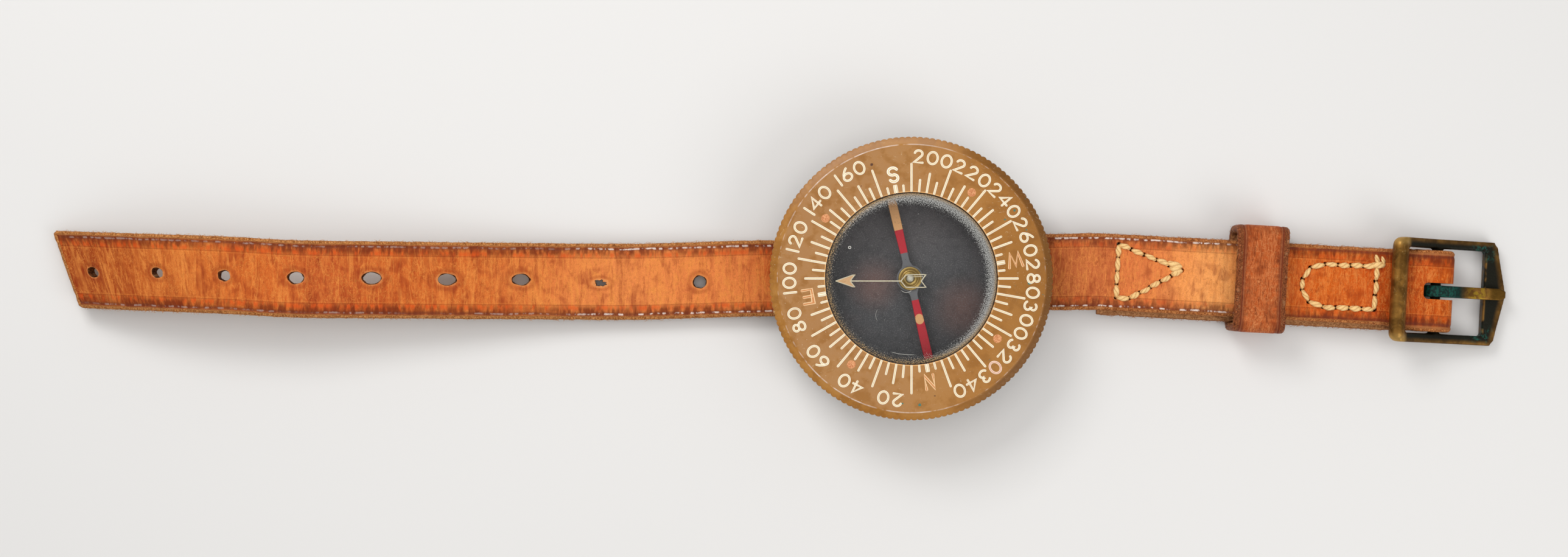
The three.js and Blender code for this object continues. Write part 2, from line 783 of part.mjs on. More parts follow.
// An oval hole punched square to the leather at a share of the tail's length.
function punchedHole(share, drift, worn) {
  const x = along(share);
  const at = tailSides.above.findIndex((p) => p.x > x);
  const [a, b] = [tailSides.above[at - 1], tailSides.above[at]];
  const slope = Math.atan2(b.y - a.y, b.x - a.x);
  const stretch = 1 + (tail.stretched - 1) * worn;
  const cut = new THREE.CylinderGeometry(tail.holeRadius, tail.holeRadius, tail.crest, pinFacets);
  cut.rotateX(quarterTurn).scale(stretch, 1, 1).rotateY(-slope);
  const middle = (a.y + b.y) / 2 - half;
  return solid(cut.translate(x, drift, middle));
}
const punched = joined(
  tail.holeShares.map((share, i) =>
    punchedHole(share, tail.holeDriftShares[i] * tail.holeDrift, tail.wornHoleShares[i]),
  ),
);
const tipShape = new THREE.Shape([
  v2(along(1) - overrun, leather.width / 2 + overrun),
  v2(along(1), leather.width / 2),
  v2(along(1) + tail.tipCut, -leather.width / 2),
  v2(along(1) + tail.tipCut, -leather.width / 2 - overrun),
  v2(along(1) - overrun, -leather.width / 2 - overrun),
]);
const tipCut = raised(tipShape, -overrun, tail.crest + overrun);

// The sideways sway of the relaxed tail in plan, none at the case.
const swayLine = new THREE.SplineCurve(
  tail.swayPlaceShares.map((share, i) => v2(share, tail.swayShares[i] * tail.sway)),
);
const swaySamples = swayLine.getPoints(60);
function swayed(body) {
  return body.warp((at) => {
    const share = (-flexReach - at[0]) / tail.length;
    if (share <= 0) return;
    const after = swaySamples.findIndex((p) => p.x >= share);
    const i = after < 0 ? swaySamples.length - 1 : Math.max(after, 1);
    const [a, b] = [swaySamples[i - 1], swaySamples[i]];
    at[1] += a.y + ((b.y - a.y) * (share - a.x)) / (b.x - a.x);
  });
}
piece("strap_tail", swayed(tailBlank.subtract(punched).subtract(tipCut)), tanLeather);

// The run to the buckle: an upper layer, a fold round the buckle's pin, and an under layer stitched back
const keeperFloor = keeper.thickness + keeper.underRoom;
const underMid = keeperFloor + half;
const upperMid = underMid + leather.thickness + leather.layerGap;
const foldMid = (underMid + upperMid) / 2;
const triangleTip = fold.triangleBase + fold.triangleReach;
const keeperStart = triangleTip + fold.keeperGap;
const boxStart = keeperStart + keeper.width + fold.boxGap;
const boxEnd = boxStart + fold.boxLength;
const pinX = boxEnd + fold.pinGap;
const eyeRadius = buckle.pinRadius + slack;
const foldRadius = eyeRadius + half;

const levelStart = flexReach + fold.riseLength;
const upperLine = new THREE.SplineCurve([
  v2(flexReach, strapMid),
  v2(flexReach + half, strapMid + slack / 2),
  v2((flexReach + levelStart) / 2, (strapMid + upperMid) / 2),
  v2(levelStart, upperMid),
]);
const spreadLine = (middle, side) => {
  const lift = side * (foldRadius - (upperMid - foldMid));
  return new THREE.CubicBezierCurve(
    v2(pinX - fold.spread, middle),
    v2(pinX - fold.spread / 2, middle),
    v2(pinX - fold.spread / 3, middle + lift),
    v2(pinX, middle + lift),
  );
};
const riseSides = sidesOf(upperLine, half, 8);
const upperSpread = sidesOf(spreadLine(upperMid, 1), half, 6);
const underSpread = sidesOf(spreadLine(underMid, -1), half, 6);
const arcSteps = 14;
const foldArc = (radius, reverse) =>
  Array.from({ length: arcSteps - 1 }, (_, i) => {
    const share = (i + 1) / arcSteps;
    const angle = quarterTurn - (reverse ? 1 - share : share) * Math.PI;
    return v2(pinX + radius * Math.cos(angle), foldMid + radius * Math.sin(angle));
  });
const foldShape = new THREE.Shape([
  ...knuckle(flexReach, -1).reverse().slice(0, -1),
  ...riseSides.above,
  ...upperSpread.above,
  ...foldArc(foldRadius + half, false),
  ...underSpread.below.slice().reverse(),
  v2(fold.underStart, underMid - half),
  v2(fold.underStart, underMid + half),
  ...underSpread.above,
  ...foldArc(foldRadius - half, true),
  ...upperSpread.below.slice().reverse(),
  ...riseSides.below.slice(1).reverse(),
]);
const foldBlank = spread(foldShape, leather.underWidth + overrun * 2);
const foldEnd = pinX + foldRadius + half + overrun;
const foldEntry = pinX - fold.spread;

// The plan of one layer: its own width and shift along the run, and the fold's width at the buckle.
function layerPlan(start, width, shift) {
  const side = (sign) => [
    v2(start, (sign * width) / 2 + (start < fold.turnStart ? 0 : shift)),
    v2(Math.max(start + slack, fold.turnStart + fold.turnLength), (sign * width) / 2 + shift),
    v2(foldEntry, (sign * width) / 2 + shift),
    v2(foldEntry + fold.spread / 2, (sign * leather.foldWidth) / 2),
    v2(foldEnd, (sign * leather.foldWidth) / 2),
  ];
  return new THREE.Shape([...side(-1), ...side(1).reverse()]);
}
const ceiling = tail.crest + overrun;
const upperPlan = raised(layerPlan(0, leather.width, leather.upperShift), -overrun, ceiling);
const underPlan = raised(layerPlan(fold.underStart - slack, leather.underWidth, leather.underShift), -overrun, foldMid);
const wide = leather.underWidth;
const foldLayers = joined([
  upperPlan.intersect(block(0, foldEnd, -wide, wide, foldMid, ceiling)),
  upperPlan.intersect(block(0, fold.underStart - slack, -wide, wide, -overrun, ceiling)),
  underPlan,
]);
const slotHalf = fold.slotWidth / 2;
const slotStart = pinX - fold.slotReach;
const slotShape = new THREE.Shape();
slotShape.moveTo(foldEnd, slotHalf);
slotShape.lineTo(slotStart + fold.slotCorner, slotHalf);
slotShape.absarc(slotStart + fold.slotCorner, slotHalf - fold.slotCorner, fold.slotCorner, quarterTurn, quarterTurn * 2);
slotShape.absarc(
  slotStart + fold.slotCorner,
  fold.slotCorner - slotHalf,
  fold.slotCorner,
  quarterTurn * 2,
  quarterTurn * 3,
);
slotShape.lineTo(foldEnd, -slotHalf);
slotShape.closePath();
const prongSlot = raised(slotShape, -overrun, tail.crest + overrun);

// Places of the stitch ends round a closed seam, spaced as near the pitch as each side allows.
function seamPoints(corners) {
  return corners.flatMap((from, i) => {
    const to = corners[(i + 1) % corners.length];
    const count = Math.max(1, Math.round(from.distanceTo(to) / stitch.pitch));
    return Array.from({ length: count }, (_, k) => from.clone().lerp(to, k / count));
  });
}
const triangleSeam = seamPoints([
  v2(fold.triangleBase, fold.triangleHigh),
  v2(fold.triangleBase, fold.triangleLow),
  v2(fold.triangleBase + stitch.pitch, fold.triangleLow),
  v2(triangleTip, fold.triangleTip),
]);
const boxSide = (side) => [
  v2(boxStart, (side * fold.boxHalf) / 4 + fold.boxShift),
  v2(boxStart + fold.boxShoulder / 3, side * fold.boxHalf * 0.8 + fold.boxShift),
  v2(boxStart + fold.boxShoulder, side * fold.boxHalf + fold.boxShift),
  v2(boxEnd, side * fold.boxHalf + fold.boxShift),
];
const boxSeam = seamPoints([...boxSide(1).reverse(), ...boxSide(-1)]);
const legTop = upperMid + half;
const legLow = underMid - half;
const legHoles = [...triangleSeam, ...boxSeam].map((p) =>
  placed(disc(stitch.holeRadius, legLow - overrun, legTop + overrun, awlFacets), p.x, p.y, 0),
);

// One thread: a bead for each stitch above and below, tied by its legs through the leather.
function seam(points) {
  const beads = points.flatMap((from, i) => {
    const to = points[(i + 1) % points.length];
    const length = from.distanceTo(to) / 2 + stitch.radius / 2;
    const bead = new THREE.SphereGeometry(stitch.radius, beadFacets, 2);
    bead.rotateZ(quarterTurn).scale(length / stitch.radius, 1, 1);
    bead.rotateZ(Math.atan2(to.y - from.y, to.x - from.x));
    const middle = from.clone().lerp(to, 0.5);
    const lift = stitch.radius + stitch.lift;
    return [legTop + lift, legLow - lift].map((z) => solid(bead.clone().translate(middle.x, middle.y, z)));
  });
  const rise = stitch.radius + stitch.lift;
  const legs = points.map((p) => placed(disc(stitch.legRadius, legLow - rise, legTop + rise, awlFacets), p.x, p.y, 0));
  return joined([...beads, ...legs]);
}

// The strap's slight turn in plan as it lies, taken up between the case and the stitching
const turn = radians(fold.turn);
const turnRate = turn / fold.turnLength;
const turnEnd = fold.turnStart + fold.turnLength;
const turnedX = fold.turnStart + Math.sin(turn) / turnRate;
const turnedY = leather.drift + (1 - Math.cos(turn)) / turnRate;
function bentInPlan(body) {
  return body.warp((at) => {
    const [x, y] = at;
    at[1] = y + leather.drift;
    if (x <= fold.turnStart) return;
    const angle = Math.min(x - fold.turnStart, fold.turnLength) * turnRate;
    const past = Math.max(x - turnEnd, 0);
    at[0] = fold.turnStart + Math.sin(angle) / turnRate + past * Math.cos(turn) - y * Math.sin(angle);
    at[1] = leather.drift + (1 - Math.cos(angle)) / turnRate + past * Math.sin(turn) + y * Math.cos(angle);
  });
}
const foldCut = joined([prongSlot, ...legHoles]);
piece("strap_buckle_end", bentInPlan(foldBlank.intersect(foldLayers).subtract(foldCut)), tanLeather);

// Everything past the turn sits in one group that carries the turn
const buckleRun = new THREE.Group();
buckleRun.rotation.z = turn;
buckleRun.position.set(turnedX - turnEnd * Math.cos(turn), turnedY - turnEnd * Math.sin(turn), 0);
root.add(buckleRun);
piece("triangle_stitching", seam(triangleSeam), thread, buckleRun);
piece("box_stitching", seam(boxSeam), thread, buckleRun);

// Keeper: a closed band of leather round both layers, with room for the tail
const keeperInnerTop = upperMid + half + keeper.headRoom;
function roundedBox(target, halfWidth, low, high, corner) {
  target.moveTo(-halfWidth + corner, low);
  target.lineTo(halfWidth - corner, low);
  target.absarc(halfWidth - corner, low + corner, corner, -quarterTurn, 0);
  target.lineTo(halfWidth, high - corner);
  target.absarc(halfWidth - corner, high - corner, corner, 0, quarterTurn);
  target.lineTo(-halfWidth + corner, high);
  target.absarc(-halfWidth + corner, high - corner, corner, quarterTurn, quarterTurn * 2);
  target.lineTo(-halfWidth, low + corner);
  target.absarc(-halfWidth + corner, low + corner, corner, quarterTurn * 2, quarterTurn * 3);
  target.closePath();
  return target;
}
const keeperShape = roundedBox(
  new THREE.Shape(),
  keeper.innerHalf + keeper.thickness,
  0,
  keeperInnerTop + keeper.thickness,
  keeper.outerCorner,
);
keeperShape.holes.push(
  roundedBox(
    new THREE.Path(),
    keeper.innerHalf,
    keeper.thickness,
    keeperInnerTop,
    keeper.innerCorner,
  ),
);
const keeperGeometry = new THREE.ExtrudeGeometry(keeperShape, { depth: keeper.width, bevelEnabled: false, curveSegments: 6 });
keeperGeometry.applyMatrix4(
  new THREE.Matrix4().makeBasis(new THREE.Vector3(0, 1, 0), new THREE.Vector3(0, 0, 1), new THREE.Vector3(1, 0, 0)),
);
piece("keeper_loop", solid(keeperGeometry), brownLeather, buckleRun).position.set(keeperStart, keeper.shift, 0);

// Buckle: a cast frame, curved in side view, with its round heel bar and the pin that the strap folds round
const heelX = pinX - buckle.barReach;
const heelZ = upperMid + half + buckle.barOverStrap + slack + buckle.barRadius;
const noseX = pinX + buckle.noseReach;
const windowHalf = leather.foldWidth / 2 + buckle.sideRoom;
const frameHalf = windowHalf + buckle.rail;
const windowEnd = noseX - buckle.noseDepth;
const frameLine = new THREE.SplineCurve([
  v2(heelX, heelZ),
  v2(pinX, foldMid),
  v2(noseX, buckle.noseHeight),
  v2(noseX + buckle.nosePoint + overrun, buckle.noseHeight - slack),
]);
const frameSides = sidesOf(frameLine, buckle.height / 2, 20);
const frameBand = spread(new THREE.Shape([...frameSides.above, ...frameSides.below.reverse()]), frameHalf * 2 + overrun);
const railPlan = (side) =>
  new THREE.Shape([
    v2(heelX, side * windowHalf),
    v2(windowEnd + overrun, side * windowHalf),
    v2(windowEnd + overrun, side * frameHalf),
    v2(heelX, side * frameHalf),
  ]);
const nosePlan = new THREE.Shape([
  v2(windowEnd, -frameHalf),
  v2(noseX - buckle.cornerRadius, -frameHalf),
  v2(noseX, -frameHalf + buckle.cornerRadius),
  v2(noseX + buckle.nosePoint, 0),
  v2(noseX, frameHalf - buckle.cornerRadius),
  v2(noseX - buckle.cornerRadius, frameHalf),
  v2(windowEnd, frameHalf),
]);
const crossBar = (x, z, radius, length, facets) =>
  solid(new THREE.CylinderGeometry(radius, radius, length, facets).translate(x, 0, z));
const framePrism = joined([railPlan(1), railPlan(-1), nosePlan].map((plan) => raised(plan, -overrun, tail.crest + overrun)));
const heelLength = (frameHalf - buckle.barRadius) * 2;
const heelEnds = [1, -1].map((side) =>
  solid(
    new THREE.SphereGeometry(buckle.barRadius, coarse, 8).translate(heelX, (side * heelLength) / 2, heelZ),
  ),
);
const frameBody = joined([
  framePrism.intersect(frameBand),
  crossBar(heelX, heelZ, buckle.barRadius, heelLength, coarse),
  ...heelEnds,
  crossBar(pinX, foldMid, buckle.pinRadius, windowHalf * 2 + buckle.rail, coarse),
]);
piece("buckle_frame", frameBody, agedBrass, buckleRun);

// Prong: wrapped round the pin, its tip lying on the frame's nose
const wrapInner = buckle.pinRadius + prong.running;
const wrapOuter = wrapInner + prong.wrap;
const noseTop = frameSides.above.reduce((best, p) => (Math.abs(p.x - noseX) < Math.abs(best.x - noseX) ? p : best)).y;
const prongLow = Math.max(noseTop, foldMid - wrapOuter) + prong.rest;
const wrap = ring(wrapInner, wrapOuter, -prong.width / 2, prong.width / 2, coarse).rotate([90, 0, 0]);
const prongLine = new THREE.SplineCurve([
  v2(0, wrapInner + prong.thickness / 2 + seat),
  v2(wrapOuter, wrapInner),
  v2(buckle.noseReach - buckle.noseDepth, prongLow - foldMid + prong.thickness),
  v2(prong.tipReach, prongLow - foldMid + prong.thickness / 2),
]);
const prongSides = sidesOf(prongLine, prong.thickness / 2, 10);
const prongArm = spread(new THREE.Shape([...prongSides.above, ...prongSides.below.reverse()]), prong.width);
const prongPlan = new THREE.Shape([
  v2(-wrapOuter, -prong.width / 2),
  v2(prong.tipReach - prong.tipPoint, -prong.width / 2),
  v2(prong.tipReach + prong.thickness, 0),
  v2(prong.tipReach - prong.tipPoint, prong.width / 2),
  v2(-wrapOuter, prong.width / 2),
]);
const bored = crossBar(0, 0, wrapInner, prong.width + overrun, coarse);
const prongBody = joined([wrap, prongArm.subtract(bored)]).intersect(
  raised(prongPlan, -tail.crest, tail.crest),
);
piece("buckle_prong", prongBody, brass, buckleRun).position.set(pinX, 0, foldMid);

export default root;
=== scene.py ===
"""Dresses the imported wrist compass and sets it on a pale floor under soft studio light.

Sizes inside the classes are millimetres, as on the maker's drawing, and meshes are written in metres.
+X runs along the strap to the buckle, +Y across it, and +Z up out of the dial.
"""

from __future__ import annotations

import logging
import math
from dataclasses import dataclass, field
from enum import Enum
from typing import Callable, Sequence

import bmesh
import bpy
import numpy as np
from mathutils import Matrix, Vector, noise

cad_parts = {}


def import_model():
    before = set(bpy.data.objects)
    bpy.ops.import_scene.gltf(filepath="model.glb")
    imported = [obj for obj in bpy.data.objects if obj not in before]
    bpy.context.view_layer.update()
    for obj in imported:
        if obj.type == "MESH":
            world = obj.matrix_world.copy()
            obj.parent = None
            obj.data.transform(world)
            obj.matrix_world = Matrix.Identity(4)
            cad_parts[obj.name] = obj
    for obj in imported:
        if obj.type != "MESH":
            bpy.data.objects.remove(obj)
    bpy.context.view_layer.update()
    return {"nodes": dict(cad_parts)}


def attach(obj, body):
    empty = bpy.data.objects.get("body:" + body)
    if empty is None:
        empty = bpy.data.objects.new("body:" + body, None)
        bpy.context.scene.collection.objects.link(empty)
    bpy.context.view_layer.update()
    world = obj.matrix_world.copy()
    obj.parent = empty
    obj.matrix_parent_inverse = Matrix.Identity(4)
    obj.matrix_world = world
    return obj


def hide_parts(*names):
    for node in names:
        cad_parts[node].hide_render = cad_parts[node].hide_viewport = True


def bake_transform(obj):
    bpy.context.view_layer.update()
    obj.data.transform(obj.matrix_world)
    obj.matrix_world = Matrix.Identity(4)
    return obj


LOG = logging.getLogger("wrist_compass")
MM = 0.001

Colour = tuple[float, float, float]
Point = tuple[float, float, float]
Flat = tuple[float, float]
Piece = bpy.types.Object
Material = bpy.types.Material
Socket = bpy.types.NodeSocket


def by_node(operation: str, reflected: bool = False) -> Callable[[Value, Number], Value]:
    """A method of Value that adds one Math node, with the numbers swapped where it is reflected."""

    def method(self: Value, other: Number = 0) -> Value:
        """The node's result."""
        return self.graph.math(operation, *((other, self) if reflected else (self, other)))

    return method


class Value:
    """A number that flows between shader nodes, with Python's operators."""

    def __init__(self, graph: Graph, socket: Socket) -> None:
        """Keeps the graph and the socket that the number comes from."""
        self.graph, self.socket = graph, socket

    __add__, __radd__ = by_node("ADD"), by_node("ADD", True)
    __sub__, __rsub__ = by_node("SUBTRACT"), by_node("SUBTRACT", True)
    __mul__, __rmul__ = by_node("MULTIPLY"), by_node("MULTIPLY", True)
    __truediv__, __lt__, __abs__ = by_node("DIVIDE"), by_node("LESS_THAN"), by_node("ABSOLUTE")
    larger, smaller = by_node("MAXIMUM"), by_node("MINIMUM")

    def step(self, low: float, high: float) -> Value:
        """A smooth rise from 0 to 1, or a fall where low is above high.

        Args:
            low: Value at which the result is 0.
            high: Value at which the result is 1.

        Returns:
            The eased value.
        """
        inputs = {"Value": self, "From Min": min(low, high), "From Max": max(low, high)}
        node = self.graph.add("ShaderNodeMapRange", {"interpolation_type": "SMOOTHSTEP"}, inputs)
        eased = Value(self.graph, node.outputs["Result"])
        return 1 - eased if low > high else eased

    def hump(self, centre: float, reach: float) -> Value:
        """A smooth bump of 1 at centre that falls to 0 a reach away."""
        return abs(self - centre).step(reach, 0)


Number = Value | float


class Graph:
    """The node tree of one material, the ways in which nodes are added to it, and its colour so far."""

    def __init__(self, name: str) -> None:
        """Makes an empty material of a name."""
        self.material = bpy.data.materials.new(name)
        self.material.use_nodes = True
        self.tree = self.material.node_tree
        self.tree.nodes.clear()
        self.base: Colour | Socket = (0, 0, 0)

    def add(self, kind: str, settings: dict | None = None, inputs: dict | None = None) -> bpy.types.Node:
        """Adds a node, and then its settings and inputs.

        Args:
            kind: Its type.
            settings: Its attributes, and "stops" for a ramp's places and colours.
            inputs: Values or sockets, by the name or number of its own sockets.

        Returns:
            The node.
        """
        node = self.tree.nodes.new(kind)
        for key, setting in (settings or {}).items():
            if key == "stops":
                elements = node.color_ramp.elements
                while len(elements) < len(setting):
                    elements.new(1)
                for element, (place, colour) in zip(elements, setting):
                    element.position = place
                    element.color = (*colour, 1)
            else:
                setattr(node, key, setting)
        for key, given in (inputs or {}).items():
            socket = node.inputs[key]
            if isinstance(given, Value):
                given = given.socket
            if isinstance(given, Socket):
                self.tree.links.new(given, socket)
            elif socket.type == "RGBA" and len(given) == 3:
                socket.default_value = (*given, 1)
            else:
                socket.default_value = given
        return node

    def math(self, operation: str, *values: Number) -> Value:
        """Adds a Math node with numbers or Values in its sockets, and returns its result."""
        return Value(self, self.add("ShaderNodeMath", {"operation": operation},
            dict(enumerate(values))).outputs[0])

    def far(self, x: Value, y: Value) -> Value:
        """How far a point lies from an axis."""
        return self.math("SQRT", x * x + y * y)

    def stretched(self, vector: Socket, *scales: float) -> Socket:
        """A vector multiplied by three factors."""
        return self.add("ShaderNodeVectorMath", {"operation": "MULTIPLY"}, {0: vector, 1: scales}).outputs[0]

    def place(self) -> Socket:
        """The point on the piece, in millimetres."""
        return self.stretched(self.add("ShaderNodeTexCoord").outputs["Object"], 1 / MM, 1 / MM, 1 / MM)

    def sheet(self) -> Socket:
        """The point on a flat layout of the piece, in millimetres along and across."""
        raw = self.add("ShaderNodeUVMap", {"uv_map": Mesher.LAYOUT}).outputs["UV"]
        return self.stretched(raw, Mesher.LAYOUT_SPAN, Mesher.LAYOUT_SPAN, 1)

    def parts(self, vector: Socket) -> tuple[Value, Value, Value]:
        """The three numbers of a vector."""
        node = self.add("ShaderNodeSeparateXYZ", None, {"Vector": vector})
        return tuple(Value(self, output) for output in node.outputs)

    def noise(self, at: Socket, size: float, detail: float = 2, bend: float = 0) -> Value:
        """Noise from 0 to 1, by the size of its clouds in millimetres, its octaves and how bent it is."""
        inputs = {"Vector": at, "Scale": 1 / size, "Detail": detail, "Distortion": bend}
        return Value(self, self.add("ShaderNodeTexNoise", None, inputs).outputs["Fac"])

    def specks(self, at: Socket, size: float, radius: float, share: float) -> Value:
        """Small round spots in some cells of a random pattern.

        Args:
            at: Point in millimetres.
            size: Distance between cells.
            radius: Radius of a spot as a share of it.
            share: Share of cells with a spot.

        Returns:
            1 on a spot and 0 off it.
        """
        cells = self.add("ShaderNodeTexVoronoi", None, {"Vector": at, "Scale": 1 / size})
        distance = Value(self, cells.outputs["Distance"])
        chance = self.parts(cells.outputs["Color"])[0]
        return distance.step(radius, radius * 0.6) * (chance < share)

    def scratches(self, at: Socket, size: float, width: float, share: float) -> Value:
        """Fine scratches, by their distance in millimetres, their width and the share that shows."""
        line = abs(self.noise(at, size, 0, 1.5) - 0.5).step(width, 0)
        return line * self.noise(at, size * 0.6, 1).step(0.62 - 0.2 * share, 0.68 - 0.2 * share)

    def lay(self, share: Number, colour: Colour, over: Colour | Socket | None = None) -> None:
        """Lays a colour where share is 1, over the colour so far or over another one to start with."""
        inputs = {0: share, 6: self.base if over is None else over, 7: colour}
        self.base = self.add("ShaderNodeMix", {"data_type": "RGBA"}, inputs).outputs[2]

    def bump(self, height: Value, depth: float, strength: float) -> Socket:
        """A normal tilted by a height, which is a share of a depth in millimetres."""
        inputs = {"Height": height, "Distance": depth * MM, "Strength": strength}
        return self.add("ShaderNodeBump", None, inputs).outputs["Normal"]

    def surface(self, rough: Number, normal: Socket | None = None, shine: float = 0.5,
            **more: Number) -> Socket:
        """Adds a Principled shader in the colour so far.

        Args:
            rough: Its roughness.
            normal: Its normal, where it isn't the mesh's own.
            shine: How much it mirrors.
            more: Its other sockets, with underscores for spaces.

        Returns:
            The shader.
        """
        inputs = {key.replace("_", " "): given for key, given in more.items()}
        inputs |= {"Base Color": self.base, "Roughness": rough, "Specular IOR Level": shine}
        inputs |= {"Normal": normal} if normal else {}
        return self.add("ShaderNodeBsdfPrincipled", None, inputs).outputs["BSDF"]


class Finish:
    """A finish, which makes its own material."""

    name: str

    def make(self) -> Material:
        """Returns the material."""
        graph = Graph(self.name)
        graph.add("ShaderNodeOutputMaterial", None, {"Surface": self.paint(graph)})
        return graph.material

    def paint(self, g: Graph) -> Socket:
        """Adds the finish's nodes to a graph and returns their shader."""
        raise NotImplementedError


def shade(*screen: int) -> Colour:
    """The colour that shaders use for a screen's red, green and blue from 0 to 255."""
    shares = (value / 255 for value in screen)
    return tuple(share / 12.92 if share <= 0.04045 else ((share + 0.055) / 1.055) ** 2.4 for share in shares)


def ease(value: float, low: float, high: float) -> float:
    """A smooth rise from 0 at low to 1 at high."""
    share = min(max((value - low) / (high - low), 0), 1)
    return share * share * (3 - 2 * share)


def ripple(x: float, y: float = 0, seed: float = 0) -> float:
    """Smooth random height between about -1 and 1, the same on every run."""
    return noise.noise(Vector((x, y, seed * 7.31 + 0.5))) * 1.6


def arc(middle: Flat, radii: Flat, start: float, end: float, steps: int = 14) -> list[Flat]:
    """Points along an ellipse, by its middle, half width and height, and two angles in degrees."""
    angles = [math.radians(start + (end - start) * i / steps) for i in range(steps + 1)]
    return [(middle[0] + radii[0] * math.cos(a), middle[1] + radii[1] * math.sin(a)) for a in angles]


def on_circle(radius: float, turn: float) -> Flat:
    """The point at a radius and a direction in radians."""
    return (radius * math.cos(turn), radius * math.sin(turn))


def run_along(line: np.ndarray) -> np.ndarray:
    """How far along a line of points each of them lies."""
    return np.concatenate([[0], np.cumsum(np.linalg.norm(np.diff(line, axis=0), axis=1))])


def spline(points: Sequence[Flat], steps: int) -> list[Flat]:
    """A smooth line, by the same rule as the drawing's curves.

    Args:
        points: Points to pass through.
        steps: Stretches in all.

    Returns:
        Its points.
    """
    line = []
    last = len(points) - 1
    for i in range(steps + 1):
        place = last * i / steps
        at = min(int(place), last - 1)
        t = place - at
        p0, p1 = points[max(at - 1, 0)], points[at]
        p2, p3 = points[at + 1], points[min(at + 2, last)]
        spot = []
        for a, b, c, d in zip(p0, p1, p2, p3):
            v0, v1 = (c - a) / 2, (d - b) / 2
            spot.append((2 * b - 2 * c + v0 + v1) * t**3 + (-3 * b + 3 * c - 2 * v0 - v1) * t**2 + v0 * t + b)
        line.append(tuple(spot))
    return line


def spaced(points: Sequence[Sequence[float]], pitch: float) -> list[tuple[float, ...]]:
    """Points a pitch apart along a line of points.

    Args:
        points: The line.
        pitch: Rough distance, so that both ends are kept.

    Returns:
        The new points.
    """
    line = np.array(points, dtype=float)
    run = run_along(line)
    places = np.linspace(0, run[-1], max(2, round(run[-1] / pitch) + 1))
    return [tuple(float(np.interp(place, run, line[:, k])) for k in range(line.shape[1])) for place in places]


def lifted(line: np.ndarray, run: np.ndarray, spots: Sequence[float], height: float) -> Flat:
    """A point above a line, square to it.

    Args:
        line: Its points.
        run: How far along it they lie.
        spots: A place just before the point, its own place and one just after, along the line.
        height: How far above the line it lies.

    Returns:
        The point.
    """
    (a0, a, a1), (b0, b, b1) = (np.interp(spots, run, line[:, k]) for k in (0, 1))
    norm = math.hypot(a1 - a0, b1 - b0)
    return (float(a - height * (b1 - b0) / norm), float(b + height * (a1 - a0) / norm))


